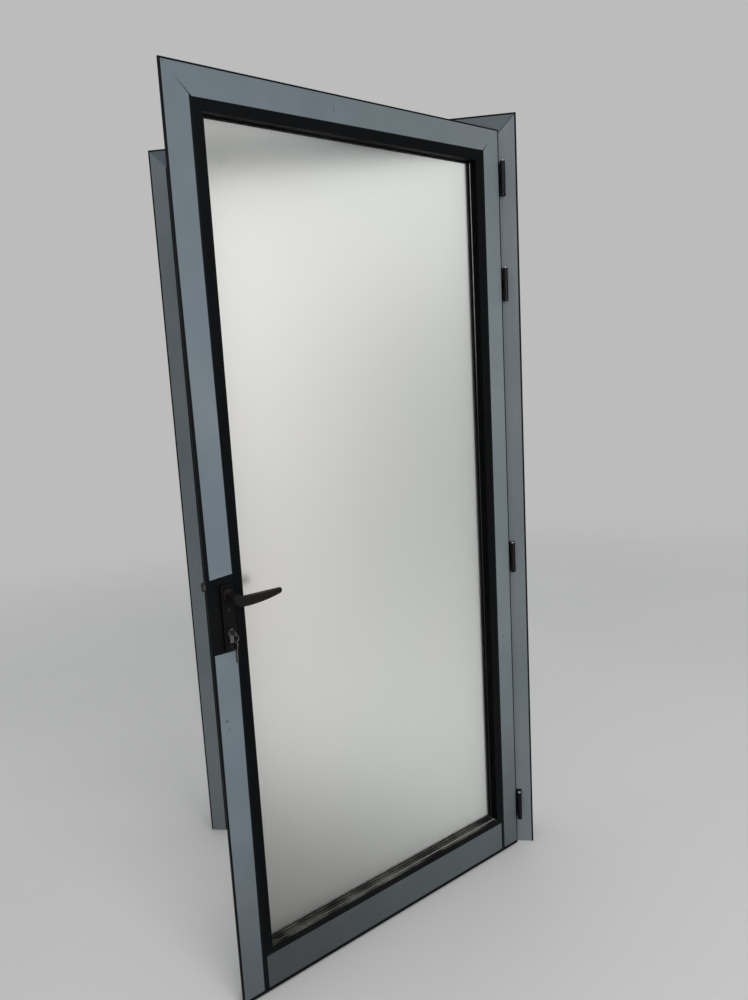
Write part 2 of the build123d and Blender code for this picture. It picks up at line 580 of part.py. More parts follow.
# Latch stile: mitred at the top, cut on its edge for the lock case and through both faces for the handle
with BuildPart() as latch_stile:
    upright(leaf_outline(), leaf_chambers(), LEAF_LATCH, 1, LEAF_Y, LEAF_FOOT, LEAF_TOP, LEAF_SOFT)
    split(bisect_by=mitre(LEAF_LATCH, LEAF_TOP, -1), keep=Keep.TOP)
    play = CLEAT_CLEAR
    box(
        (STILE_EDGE - OVERCUT, STILE_EDGE + LEAF_WALL + OVERCUT), (CASE_FRONT - play, CASE_REAR + play),
        (CASE_LOW - play, CASE_HIGH + play), mode=Mode.SUBTRACT,
    )
    with BuildSketch(wall_plane(LEAF_Y - OVERCUT)):
        cylinder_profile(BOLT_PLAY)
        with Locations((HANDLE_X, SPINDLE_HEIGHT)):
            Circle(SPINDLE_SIDE)
        with Locations(*[(HANDLE_X, z) for z in PLATE_SCREWS]):
            Circle(PLATE_SCREW_HOLE)
    extrude(amount=-(LEAF_DEPTH + 2 * OVERCUT), mode=Mode.SUBTRACT)
save(latch_stile, "latch_stile", OPENED)

# Hinge stile: the same bar for the other side, drilled for the hinges' screws
with BuildPart() as hinge_stile:
    upright(leaf_outline(), leaf_chambers(), LEAF_HINGE, -1, LEAF_Y, LEAF_FOOT, LEAF_TOP, LEAF_SOFT)
    split(bisect_by=mitre(LEAF_HINGE, LEAF_TOP, 1), keep=Keep.TOP)
    with Locations(*across(LEAF_BODY_EDGE, HINGE_SCREW_Y, HINGE_SCREWS)):
        Cylinder(SCREW_HOLE, 4 * LEAF_WALL, mode=Mode.SUBTRACT)
save(hinge_stile, "hinge_stile", OPENED)

# Top rail: the same section laid level between the mitres
with BuildPart() as top_rail:
    level_bar(leaf_outline(), leaf_chambers(), LEAF_TOP, -1, LEAF_Y, LEAF_LATCH, LEAF_HINGE, LEAF_SOFT)
    split(bisect_by=mitre(LEAF_HINGE, LEAF_TOP, 1), keep=Keep.BOTTOM)
    split(bisect_by=mitre(LEAF_LATCH, LEAF_TOP, -1), keep=Keep.BOTTOM)
save(top_rail, "top_rail", OPENED)

# Bottom rail: a taller two-chamber section that butts between the stiles and ends where their back legs start
with BuildPart() as bottom_rail:
    level_bar(bottom_rail_outline(), bottom_rail_chambers(), LEAF_FOOT, 1, LEAF_Y, LATCH_INSIDE, HINGE_INSIDE)
    leg = (LEAF_BACK - REAR_LEG_THICK - CLEAT_CLEAR, LEAF_BACK + OVERCUT)
    tall = (0, FOOT_INSIDE + REAR_LEG + OVERCUT)
    box((LATCH_INSIDE - OVERCUT, LATCH_INSIDE + REAR_LEG), leg, tall, mode=Mode.SUBTRACT)
    box((HINGE_INSIDE - REAR_LEG, HINGE_INSIDE + OVERCUT), leg, tall, mode=Mode.SUBTRACT)
save(bottom_rail, "bottom_rail", OPENED)

# Angle brackets in the leaf's mitred corners and blocks that join the bottom rail to the stiles
with BuildPart() as leaf_corner_cleats:
    near = FLANGE_REACH + LEAF_WALL + CLEAT_CLEAR
    far = STILE_FACE - LEAF_WALL - CLEAT_CLEAR
    y = LEAF_Y + LEAF_WALL + CLEAT_CLEAR
    corner_cleat(LEAF_HINGE, LEAF_TOP, -1, near, far, LEAF_CLEAT_LEG, y)
    corner_cleat(LEAF_LATCH, LEAF_TOP, 1, near, far, LEAF_CLEAT_LEG, y)
    low = LEAF_FOOT + BOTTOM_RAIL_FACE / 2 + LEAF_WALL / 2 + CLEAT_CLEAR
    high = FOOT_INSIDE - LEAF_WALL - CLEAT_CLEAR
    for end, way in ((LATCH_INSIDE, 1), (HINGE_INSIDE, -1)):
        box((end, end + way * RAIL_BLOCK), (y, y + CLEAT_DEPTH), (low, high))
save(leaf_corner_cleats, "leaf_corner_cleats", OPENED)

# Obscured glass pane with ground edges
PANE = (LATCH_INSIDE + GLASS_EDGE_GAP, HINGE_INSIDE - GLASS_EDGE_GAP)
PANE_Z = (FOOT_INSIDE + GLASS_EDGE_GAP, TOP_INSIDE - GLASS_EDGE_GAP)
with BuildPart() as glass_pane:
    box(PANE, (GLASS_Y, GLASS_Y + GLASS_THICK), PANE_Z)
    chamfer(glass_pane.edges().filter_by(Axis.Y, reverse=True), GLASS_GROUND)
save(glass_pane, "glass_pane", OPENED)

# Plastic blocks that the pane stands on
with BuildPart() as setting_blocks:
    depth = (GLASS_Y - BLOCK_PROUD, GLASS_Y + GLASS_THICK + BLOCK_PROUD)
    for x in (PANE[0] + BLOCK_INSET, PANE[1] - BLOCK_INSET):
        box((x - BLOCK_LENGTH / 2, x + BLOCK_LENGTH / 2), depth, (FOOT_INSIDE, FOOT_INSIDE + GLASS_EDGE_GAP))
save(setting_blocks, "setting_blocks", OPENED)

# Glazing beads: one hollow stepped section on all four sides, mitred at every corner
BEAD_SOFT = [(BEAD_WIDTH, 0), (BEAD_WIDTH + BEAD_STEP, BEAD_STEP_DEPTH)]
CORNERS = {
    ("latch", "top"): Plane(origin=(LATCH_INSIDE, 0, TOP_INSIDE), z_dir=(-1, 0, -1)),
    ("hinge", "top"): Plane(origin=(HINGE_INSIDE, 0, TOP_INSIDE), z_dir=(1, 0, -1)),
    ("latch", "bottom"): Plane(origin=(LATCH_INSIDE, 0, FOOT_INSIDE), z_dir=(-1, 0, 1)),
    ("hinge", "bottom"): Plane(origin=(HINGE_INSIDE, 0, FOOT_INSIDE), z_dir=(1, 0, 1)),
}
for side, x, way in (("latch", LATCH_INSIDE, 1), ("hinge", HINGE_INSIDE, -1)):
    with BuildPart() as bead:
        upright(bead_outline(), bead_chamber(), x, way, LEAF_Y, FOOT_INSIDE, TOP_INSIDE, BEAD_SOFT)
        for end in ("top", "bottom"):
            split(bisect_by=CORNERS[side, end], keep=Keep.TOP)
    save(bead, f"glazing_bead_{side}", OPENED)
for end, z, way in (("top", TOP_INSIDE, -1), ("bottom", FOOT_INSIDE, 1)):
    with BuildPart() as bead:
        level_bar(bead_outline(), bead_chamber(), z, way, LEAF_Y, LATCH_INSIDE, HINGE_INSIDE, BEAD_SOFT)
        for side in ("latch", "hinge"):
            split(bisect_by=CORNERS[side, end], keep=Keep.BOTTOM)
    save(bead, f"glazing_bead_{end}", OPENED)


def pane_strip(sight, width):
    """Draws a band round the pane whose inner edge shows past a rebate edge at sight inside the bars."""
    inset = sight - width + GASKET_LIP
    ring(LATCH_INSIDE + inset, HINGE_INSIDE - inset, FOOT_INSIDE + inset, TOP_INSIDE - inset, width)


# Rubber strips in front of and behind the pane
with BuildPart() as glazing_gasket_front:
    with BuildSketch(wall_plane(LEAF_Y + BEAD_DEPTH)):
        pane_strip(BEAD_WIDTH + BEAD_STEP, FRONT_GASKET_WIDTH)
    extrude(amount=-FRONT_GASKET)
save(glazing_gasket_front, "glazing_gasket_front", OPENED)
with BuildPart() as glazing_gasket_rear:
    with BuildSketch(wall_plane(GLASS_Y + GLASS_THICK)):
        pane_strip(REAR_LEG, REAR_GASKET_WIDTH)
    extrude(amount=-(LEAF_DEPTH - REAR_LEG_THICK - GLASS_SET_BACK - GLASS_THICK))
save(glazing_gasket_rear, "glazing_gasket_rear", OPENED)

# Rubber lip in the flange's groove, cut away at the hinges
with BuildPart() as leaf_gasket:
    near, far = OVERLAP_GROOVE
    depth = (LEAF_Y + GROOVE_FLOOR, FACE_Y - FILM - KNUCKLE_GAP)
    side_top = LEAF_TOP - near
    box((LEAF_LATCH + near, LEAF_LATCH + far), depth, (LEAF_FOOT, side_top))
    box((LEAF_LATCH + near, LEAF_HINGE - near), depth, (LEAF_TOP - far, LEAF_TOP - near))
    breaks, half = sorted(HINGE_CENTRES), HINGE_HEIGHT / 2 + OVERCUT
    lows = [LEAF_FOOT] + [z + half for z in breaks]
    highs = [z - half for z in breaks] + [side_top]
    for low, high in zip(lows, highs):
        box((LEAF_HINGE - far, LEAF_HINGE - near), depth, (low, high))
save(leaf_gasket, "leaf_gasket", OPENED)

# Brush strip in the bottom rail's groove
with BuildPart() as bottom_brush_seal:
    middle = LEAF_Y + LEAF_DEPTH / 2
    half = BRUSH_CARRIER / 2 - PIN_CLEARANCE
    span = (LATCH_INSIDE, HINGE_INSIDE)
    box(span, (middle - half, middle + half), (LEAF_FOOT, LEAF_FOOT + BRUSH_CARRIER_DEPTH))
    box(span, (middle - BRUSH_THICK / 2, middle + BRUSH_THICK / 2), (LEAF_FOOT - BRUSH_REACH, LEAF_FOOT))
save(bottom_brush_seal, "bottom_brush_seal", OPENED)


def upright_film(edge_x, toward, edge_z, near, far, foot, y, way):
    """An upright film strip on the face at y: its top is mitred and slit open towards the inner corner."""
    outer, inner = edge_x + toward * near, edge_x + toward * far
    joined = near + (far - near) * MITRE_JOINED
    points = [
        (outer, foot), (outer, edge_z - near), (edge_x + toward * joined, edge_z - joined),
        (inner, edge_z - far - MITRE_SLIT), (inner, foot),
    ]
    extrude(outlined(wall_plane(y), points), amount=-way * FILM)


def level_film(left, right, edge_z, near, far, y, way):
    """A level film strip on the face at y: both ends are mitred and slit open towards the inner corners."""
    joined = near + (far - near) * MITRE_JOINED
    points = [
        (left + near, edge_z - near), (right - near, edge_z - near), (right - joined, edge_z - joined),
        (right - far - MITRE_SLIT, edge_z - far), (left + far + MITRE_SLIT, edge_z - far),
        (left + joined, edge_z - joined),
    ]
    extrude(outlined(wall_plane(y), points), amount=-way * FILM)


# Films on the frame: the hinge jamb's is cut out round the hinges
FILM_NEAR, FILM_FAR = FRAME_FILM_INSET, FRAME_FACE - FRAME_FILM_STOP
with BuildPart() as hinge_jamb_film:
    upright_film(HINGE_OUT, -1, FRAME_HEIGHT, FILM_NEAR, FILM_FAR, 0, FACE_Y, -1)
    for z in HINGE_CENTRES:
        half = HINGE_HEIGHT / 2 + OVERCUT
        depth = (FACE_Y - FILM - OVERCUT, FACE_Y + OVERCUT)
        box((INNER_HINGE, TANGENT + OVERCUT), depth, (z - half, z + half), mode=Mode.SUBTRACT)
save(hinge_jamb_film, "hinge_jamb_film")
with BuildPart() as latch_jamb_film:
    upright_film(LATCH_OUT, 1, FRAME_HEIGHT, FILM_NEAR, FILM_FAR, 0, FACE_Y, -1)
save(latch_jamb_film, "latch_jamb_film")
with BuildPart() as head_film:
    level_film(LATCH_OUT, HINGE_OUT, FRAME_HEIGHT, FILM_NEAR, FILM_FAR, FACE_Y, -1)
save(head_film, "head_film")

# Films on the leaf's face and on its back
LEAF_NEAR, LEAF_FAR = LEAF_FILM_INSET, STILE_FACE - LEAF_FILM_STOP
BACK_NEAR, BACK_FAR = FLANGE_REACH + LEAF_FILM_INSET, STILE_FACE + REAR_LEG - LEAF_FILM_INSET
SPLIT = {"upper": (PLATE_HIGH + CUT_OUT_ABOVE, LEAF_TOP), "lower": (0, PLATE_LOW - CUT_OUT_BELOW)}
for name, (low, high) in SPLIT.items():
    with BuildPart() as film:
        upright_film(LEAF_LATCH, 1, LEAF_TOP, LEAF_NEAR, LEAF_FAR, FILM_FOOT, LEAF_Y, -1)
        upright_film(LEAF_LATCH, 1, LEAF_TOP, BACK_NEAR, BACK_FAR, FILM_FOOT, LEAF_BACK, 1)
        span = (LEAF_LATCH, LATCH_INSIDE + REAR_LEG)
        box(span, (LEAF_Y - OVERCUT, LEAF_BACK + OVERCUT), (low, high), mode=Mode.INTERSECT)
    save(film, f"latch_stile_film_{name}", OPENED)
with BuildPart() as hinge_stile_film:
    upright_film(LEAF_HINGE, -1, LEAF_TOP, LEAF_NEAR, LEAF_FAR, FILM_FOOT, LEAF_Y, -1)
    upright_film(LEAF_HINGE, -1, LEAF_TOP, BACK_NEAR, BACK_FAR, FILM_FOOT, LEAF_BACK, 1)
save(hinge_stile_film, "hinge_stile_film", OPENED)
with BuildPart() as top_rail_film:
    level_film(LEAF_LATCH, LEAF_HINGE, LEAF_TOP, LEAF_NEAR, LEAF_FAR, LEAF_Y, -1)
    level_film(LEAF_LATCH, LEAF_HINGE, LEAF_TOP, BACK_NEAR, BACK_FAR, LEAF_BACK, 1)
save(top_rail_film, "top_rail_film", OPENED)
with BuildPart() as bottom_rail_film:
    top, side = FOOT_INSIDE + RAIL_FILM_LAP, RAIL_FILM_SIDE
    box((LATCH_INSIDE + side, HINGE_INSIDE - side), (LEAF_Y - FILM, LEAF_Y), (FILM_FOOT, top))
    side = REAR_LEG + RAIL_FILM_SIDE
    box((LATCH_INSIDE + side, HINGE_INSIDE - side), (LEAF_BACK, LEAF_BACK + FILM), (FILM_FOOT, top))
save(bottom_rail_film, "bottom_rail_film", OPENED)

# Screws that hold the hinges to the leaf
with BuildPart() as hinge_leaf_screws:
    for z in HINGE_SCREWS:
        screw(LEAF_BODY_EDGE + HINGE_THICK, HINGE_SCREW_Y, z, -1)
save(hinge_leaf_screws, "hinge_leaf_screws", OPENED)

# Lock case: a thin steel box open at the edge for its bolts, pierced for the hub and the cylinder
CASE_X = (STILE_EDGE, LEAF_LATCH + CASE_BACK)
with BuildPart() as lock_case:
    box(CASE_X, (CASE_FRONT, CASE_REAR), (CASE_LOW, CASE_HIGH))
    box(
        (CASE_X[0] - OVERCUT, CASE_X[1] - CASE_WALL), (CASE_FRONT + CASE_WALL, CASE_REAR - CASE_WALL),
        (CASE_LOW + CASE_WALL, CASE_HIGH - CASE_WALL), mode=Mode.SUBTRACT,
    )
    with BuildSketch(wall_plane(CASE_FRONT - OVERCUT)):
        cylinder_profile(BOLT_PLAY)
        with Locations((HANDLE_X, SPINDLE_HEIGHT)):
            Circle(HUB_RADIUS + HUB_PLAY)
        with Locations(*[(HANDLE_X, z) for z in PLATE_SCREWS]):
            Circle(PLATE_SCREW_HOLE)
    extrude(amount=-(CASE_THICK + 2 * OVERCUT), mode=Mode.SUBTRACT)
save(lock_case, "lock_case", OPENED)

# Lock faceplate on the stile's edge
FACEPLATE_X = (STILE_EDGE - FACEPLATE, STILE_EDGE)
FACEPLATE_SCREWS = (CASE_LOW - FACEPLATE_OVER / 2, CASE_HIGH + FACEPLATE_OVER / 2)
with BuildPart() as lock_faceplate:
    box(
        FACEPLATE_X, (CASE_Y - FACEPLATE_WIDTH / 2, CASE_Y + FACEPLATE_WIDTH / 2),
        (CASE_LOW - FACEPLATE_OVER, CASE_HIGH + FACEPLATE_OVER),
    )
    fillet(lock_faceplate.edges().filter_by(Axis.X), FACEPLATE_CORNER)
    half = BOLT_THICK / 2 + BOLT_PLAY
    through = (FACEPLATE_X[0] - OVERCUT, FACEPLATE_X[1] + OVERCUT)
    for z, tall in ((LATCH_Z, LATCH_HEIGHT), (DEADBOLT_Z, DEADBOLT_HEIGHT)):
        rise = tall / 2 + BOLT_PLAY
        box(through, (CASE_Y - half, CASE_Y + half), (z - rise, z + rise), mode=Mode.SUBTRACT)
    with Locations(*across(FACEPLATE_X[0], CASE_Y, FACEPLATE_SCREWS, -90)):
        CounterSinkHole(SCREW_HOLE, SCREW_HEAD, depth=FACEPLATE, counter_sink_angle=90)
save(lock_faceplate, "lock_faceplate", OPENED)

# Latch bolt: bevelled on the side that meets the strike as the leaf closes
LATCH_X = LEAF_LATCH + LATCH_TIP
with BuildPart() as latch_bolt:
    with BuildSketch(Plane.XY.offset(LATCH_Z - LATCH_HEIGHT / 2)):
        with BuildLine():
            front, rear = CASE_Y - BOLT_THICK / 2, CASE_Y + BOLT_THICK / 2
            nose = FACEPLATE_X[0] - LATCH_X
            Polyline(
                (LATCH_X, front), (LATCH_X + LATCH_LENGTH, front), (LATCH_X + LATCH_LENGTH, rear),
                (LATCH_X + nose, rear), (LATCH_X, front + LATCH_LAND), close=True,
            )
        make_face()
    extrude(amount=LATCH_HEIGHT)
save(latch_bolt, "latch_bolt", OPENED)

# Deadbolt, drawn back flush with the faceplate
with BuildPart() as deadbolt:
    thick = (CASE_Y - BOLT_THICK / 2, CASE_Y + BOLT_THICK / 2)
    tall = (DEADBOLT_Z - DEADBOLT_HEIGHT / 2, DEADBOLT_Z + DEADBOLT_HEIGHT / 2)
    box((FACEPLATE_X[0], FACEPLATE_X[0] + DEADBOLT_LENGTH), thick, tall)
    chamfer(deadbolt.faces().sort_by(Axis.X)[0].edges(), BOLT_EASE)
save(deadbolt, "deadbolt", OPENED)

# Lock cylinder: keyhole-shaped body, bored for the inner plug and notched for its cam
PLATE_FACE = LEAF_Y - PLATE_THICK
CYLINDER_FRONT = PLATE_FACE - CYLINDER_PROUD
CYLINDER_REAR = LEAF_BACK + PLATE_THICK + CYLINDER_PROUD
CAM_FRONT = CASE_Y - CAM_THICK / 2
with BuildPart() as cylinder_body:
    with BuildSketch(wall_plane(CYLINDER_FRONT)):
        cylinder_profile()
    extrude(amount=-(CYLINDER_REAR - CYLINDER_FRONT))
    with BuildSketch(wall_plane(CYLINDER_FRONT)):
        with Locations((HANDLE_X, CYLINDER_Z)):
            Circle(PLUG_RADIUS + PLUG_CLEARANCE)
    extrude(amount=-(CAM_FRONT - CYLINDER_FRONT), mode=Mode.SUBTRACT)
    half = CYLINDER_ROUND + OVERCUT
    box(
        (HANDLE_X - half, HANDLE_X + half), (CAM_FRONT - CAM_PLAY, CAM_FRONT + CAM_THICK + CAM_PLAY),
        (CYLINDER_Z - CAM_RADIUS - CAM_PLAY, CYLINDER_Z + half), mode=Mode.SUBTRACT,
    )
    box(
        (HANDLE_X - KEY_THICK / 2, HANDLE_X + KEY_THICK / 2),
        (CYLINDER_REAR - KEYWAY_DEPTH, CYLINDER_REAR + OVERCUT),
        (CYLINDER_Z - KEY_BLADE / 2, CYLINDER_Z + KEY_BLADE / 2), mode=Mode.SUBTRACT,
    )
save(cylinder_body, "cylinder_body", OPENED)

# Plug with its keyway and the cam that throws the deadbolt
with BuildPart() as cylinder_plug:
    with BuildSketch(wall_plane(CYLINDER_FRONT)):
        with Locations((HANDLE_X, CYLINDER_Z)):
            Circle(PLUG_RADIUS)
    extrude(amount=-(CAM_FRONT - CYLINDER_FRONT))
    with BuildSketch(wall_plane(CAM_FRONT)):
        with Locations((HANDLE_X, CYLINDER_Z)):
            Circle(CYLINDER_ROUND - CAM_PLAY)
        with Locations((HANDLE_X, CYLINDER_Z - CAM_RADIUS / 2)):
            Rectangle(CAM_WIDTH, CAM_RADIUS)
    extrude(amount=-CAM_THICK)
    slot = KEY_THICK / 2 + KEY_SLOT
    blade = KEY_BLADE / 2 + KEY_SLOT
    depth = (CYLINDER_FRONT - OVERCUT, CYLINDER_FRONT + KEY_BLADE_LENGTH + OVERCUT)
    tall = (CYLINDER_Z - blade, CYLINDER_Z + blade)
    box((HANDLE_X - slot, HANDLE_X + slot), depth, tall, mode=Mode.SUBTRACT)
save(cylinder_plug, "cylinder_plug", OPENED)


KEY_HOLE_REACH = KEY_BOW / 2 - KEY_HOLE - KEY_RIM       # the hole's middle, from the bow's


def key_outline():
    """The outline of a key on its own plane: an oval bow at the origin, a shoulder, and a blade along +x."""
    with BuildSketch() as drawing:
        Ellipse(KEY_BOW / 2, KEY_BOW_TALL / 2)
        for reach, tall in (
            (KEY_BOW / 2 + KEY_SHOULDER + KEY_BLADE_LENGTH, KEY_BLADE),
            (KEY_BOW / 2 + KEY_SHOULDER - OVERCUT, KEY_SHOULDER_WIDE),
        ):
            Rectangle(reach, tall, align=(Align.MIN, Align.CENTER))
        with Locations((-KEY_HOLE_REACH, 0)):
            Circle(KEY_HOLE, mode=Mode.SUBTRACT)
    return drawing.sketch


# Key in the plug, its bow upright, and the spare hanging from it on a wire ring
BOW_Y = CYLINDER_FRONT - KEY_SHOULDER - KEY_BOW / 2
HOLE_Y = BOW_Y - KEY_HOLE_REACH
RING_TOP = CYLINDER_Z - KEY_HOLE + RING_WIRE + LOOSE_GAP
RING_FOOT = RING_TOP - 2 * RING_RADIUS
SPARE_HOLE = RING_FOOT + RING_WIRE + LOOSE_GAP - KEY_HOLE
SPARE_BOW = SPARE_HOLE - KEY_HOLE_REACH
KEYS = (("key", BOW_Y, CYLINDER_Z, (0, 1, 0)), ("spare_key", HOLE_Y, SPARE_BOW, (0, 0, -1)))
for node, bow_y, bow_z, blade in KEYS:
    with BuildPart() as flat_key:
        plane = Plane(origin=(HANDLE_X - KEY_THICK / 2, bow_y, bow_z), x_dir=blade, z_dir=(1, 0, 0))
        extrude(plane * key_outline(), amount=KEY_THICK)
        tip = flat_key.faces().sort_by(Axis((0, 0, 0), blade))[-1]
        chamfer(tip.edges().filter_by(Axis.X), KEY_TIP)
    save(flat_key, node, OPENED)
with BuildPart() as key_ring:
    middle = (HANDLE_X, HOLE_Y, RING_TOP - RING_RADIUS)
    with BuildSketch(Plane(origin=middle, x_dir=(1, 0, 0), z_dir=(0, 0, 1))):
        with Locations((RING_RADIUS, 0)):
            Circle(RING_WIRE)
    revolve(axis=Axis(middle, (0, 1, 0)))
save(key_ring, "key_ring", OPENED)


def handle_plate(y, way):
    """A handle plate on the leaf: y is the face it sits on and way (+1 or -1) the side it stands towards."""
    with BuildSketch(wall_plane(y)) as outline:
        with Locations((HANDLE_X, (PLATE_LOW + PLATE_HIGH) / 2)):
            RectangleRounded(PLATE_WIDTH, PLATE_HEIGHT, PLATE_CORNER)
    extrude(outline.sketch, amount=-way * PLATE_THICK)
    fillet(faces().sort_by(Axis.Y)[0 if way < 0 else -1].edges(), PLATE_EDGE)
    with BuildSketch(wall_plane(y)) as openings:
        cylinder_profile(BOLT_PLAY)
        with Locations((HANDLE_X, SPINDLE_HEIGHT)):
            Circle(SPINDLE_SIDE)
    extrude(openings.sketch, amount=-way * PLATE_THICK, mode=Mode.SUBTRACT)


# Handle plates inside and outside; the inner one is countersunk for the through screws
with BuildPart() as handle_plate_inside:
    handle_plate(LEAF_Y, -1)
    with Locations(*[Location((HANDLE_X, PLATE_FACE, z), (90, 0, 0)) for z in PLATE_SCREWS]):
        depth = PLATE_THICK + OVERCUT
        CounterSinkHole(PLATE_SCREW_HOLE, PLATE_SCREW_SINK, depth=depth, counter_sink_angle=90)
save(handle_plate_inside, "handle_plate_inside", OPENED)
with BuildPart() as handle_plate_outside:
    handle_plate(LEAF_BACK, 1)
    with Locations(*[(HANDLE_X, LEAF_BACK, z) for z in PLATE_SCREWS]):
        Box(2 * PLATE_SCREW_HOLE, 2 * (PLATE_THICK - PLATE_FLOOR), 2 * PLATE_SCREW_HOLE, mode=Mode.SUBTRACT)
save(handle_plate_outside, "handle_plate_outside", OPENED)

# Through screws that clamp the two plates together
with BuildPart() as handle_screws:
    for z in PLATE_SCREWS:
        end = LEAF_BACK + PLATE_THICK - PLATE_FLOOR - PLATE_FACE
        cone = SCREW_HEAD - SCREW_RADIUS
        points = [(0, 0), (SCREW_HEAD, 0), (SCREW_RADIUS, cone), (SCREW_RADIUS, end), (0, end)]
        half = outlined(Plane(origin=(HANDLE_X, PLATE_FACE, z), x_dir=(1, 0, 0), z_dir=(0, 0, 1)), points)
        revolve(half, axis=Axis((HANDLE_X, PLATE_FACE, z), (0, 1, 0)))
save(handle_screws, "handle_screws", OPENED)

# Square spindle through the lock's hub
SPINDLE_Y = (PLATE_FACE - SPINDLE_DEPTH, LEAF_BACK + PLATE_THICK + SPINDLE_DEPTH)
with BuildPart() as spindle:
    half = SPINDLE_SIDE / 2
    box((HANDLE_X - half, HANDLE_X + half), SPINDLE_Y, (SPINDLE_HEIGHT - half, SPINDLE_HEIGHT + half))
save(spindle, "spindle", OPENED)

# Hub: the round follower that carries the spindle in the lock case and draws the latch back
with BuildPart() as lock_hub:
    with BuildSketch(wall_plane(CASE_FRONT)):
        with Locations((HANDLE_X, SPINDLE_HEIGHT)):
            Circle(HUB_RADIUS)
            Rectangle(SPINDLE_SIDE + 2 * SPINDLE_PLAY, SPINDLE_SIDE + 2 * SPINDLE_PLAY, mode=Mode.SUBTRACT)
    extrude(amount=-CASE_THICK)
save(lock_hub, "lock_hub", OPENED)

# Lever: a turned neck with a collar, and a blade whose top edge runs level while its underside curves up to
# a rounded tip. The blade is a loft through rounded sections
BLADE_CORNER = 0.42         # the sections' corner radius, as a share of their thickness
ROOT_FALL = 0.35            # the blade's height falls by these shares towards its root and its tip
TIP_FALL = 0.5
BLADE_STEPS = 10
NOSE_STEPS = 5
NOSE_END = 0.25             # the last section's size, as a share of the full one


def blade_section(reach, y):
    """The blade's section at a distance from the spindle, shrunk along a quarter ellipse within the nose."""
    off = reach - BLADE_WIDEST
    if off < 0:
        tall = BLADE_TALL * (1 - ROOT_FALL * (off / (BLADE_WIDEST + BLADE_ROOT)) ** 2)
    else:
        tall = BLADE_TALL * (1 - TIP_FALL * (off / (LEVER_LENGTH - BLADE_WIDEST)) ** 2)
    along = (reach + BLADE_ROOT) / (LEVER_LENGTH + BLADE_ROOT)
    thick = BLADE_ROOT_THICK + (BLADE_TIP_THICK - BLADE_ROOT_THICK) * along
    into_nose = max(0.0, (reach - LEVER_LENGTH + BLADE_NOSE) / BLADE_NOSE)
    shrink = max(NOSE_END, (1 - into_nose ** 2) ** 0.5)
    middle = (HANDLE_X + reach, y, SPINDLE_HEIGHT + BLADE_TOP - tall / 2)
    with BuildSketch(Plane(origin=middle, x_dir=(0, 1, 0), z_dir=(1, 0, 0))) as drawing:
        RectangleRounded(thick * shrink, tall * shrink, thick * shrink * BLADE_CORNER)
    return drawing.sketch


def blade_reaches():
    """Even steps along the blade, then steps that close up towards the end of the nose."""
    start, nose = -BLADE_ROOT, LEVER_LENGTH - BLADE_NOSE
    body = [start + (nose - start) * k / BLADE_STEPS for k in range(BLADE_STEPS + 1)]
    return body + [nose + BLADE_NOSE * sin(radians(90) * k / NOSE_STEPS) for k in range(1, NOSE_STEPS + 1)]


def lever(face_y, way):
    """A lever handle whose collar faces face_y and whose blade stands off towards way."""
    near = face_y + way * LEVER_GAP
    far = face_y + way * LEVER_PROJECTION
    collar = near + way * COLLAR_THICK
    points = [
        (0, near), (COLLAR_RADIUS, near), (COLLAR_RADIUS, collar), (NECK_RADIUS, collar + way * COLLAR_SLOPE),
        (NECK_RADIUS, far - way * NECK_ROUND), (NECK_RADIUS - NECK_ROUND, far), (0, far),
    ]
    half = outlined(Plane(origin=(HANDLE_X, 0, SPINDLE_HEIGHT), x_dir=(1, 0, 0), z_dir=(0, 0, 1)), points)
    revolve(half, axis=Axis((HANDLE_X, 0, SPINDLE_HEIGHT), (0, 1, 0)))
    blade_y = far - way * BLADE_ROOT_THICK / 2
    loft([blade_section(reach, blade_y) for reach in blade_reaches()], ruled=True)
    half = SPINDLE_SIDE / 2 + SPINDLE_PLAY
    depth = (near - way * OVERCUT, face_y + way * (SPINDLE_DEPTH + SPINDLE_PLAY))
    tall = (SPINDLE_HEIGHT - half, SPINDLE_HEIGHT + half)
    box((HANDLE_X - half, HANDLE_X + half), depth, tall, mode=Mode.SUBTRACT)


with BuildPart() as lever_inside:
    lever(PLATE_FACE, -1)
save(lever_inside, "lever_inside", OPENED)
with BuildPart() as lever_outside:
    lever(LEAF_BACK + PLATE_THICK, 1)
save(lever_outside, "lever_outside", OPENED)
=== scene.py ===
import json
import math

import bpy
import numpy as np
from mathutils import Matrix, Vector


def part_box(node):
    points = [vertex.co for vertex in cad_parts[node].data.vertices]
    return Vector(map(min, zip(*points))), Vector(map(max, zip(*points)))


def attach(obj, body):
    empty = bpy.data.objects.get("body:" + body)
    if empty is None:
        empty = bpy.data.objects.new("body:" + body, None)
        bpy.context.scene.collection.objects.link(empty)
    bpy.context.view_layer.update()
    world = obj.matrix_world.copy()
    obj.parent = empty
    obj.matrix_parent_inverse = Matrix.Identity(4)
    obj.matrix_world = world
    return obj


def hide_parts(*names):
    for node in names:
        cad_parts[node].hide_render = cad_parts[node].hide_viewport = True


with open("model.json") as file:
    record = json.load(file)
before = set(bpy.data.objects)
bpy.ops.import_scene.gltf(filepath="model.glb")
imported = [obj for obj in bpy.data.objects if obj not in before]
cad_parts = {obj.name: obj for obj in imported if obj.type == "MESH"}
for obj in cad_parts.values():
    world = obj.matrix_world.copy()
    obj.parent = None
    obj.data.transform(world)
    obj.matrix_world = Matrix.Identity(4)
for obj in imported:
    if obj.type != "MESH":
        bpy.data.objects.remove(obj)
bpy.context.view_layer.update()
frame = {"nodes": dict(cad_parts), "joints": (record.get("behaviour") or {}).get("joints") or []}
nodes = frame["nodes"]

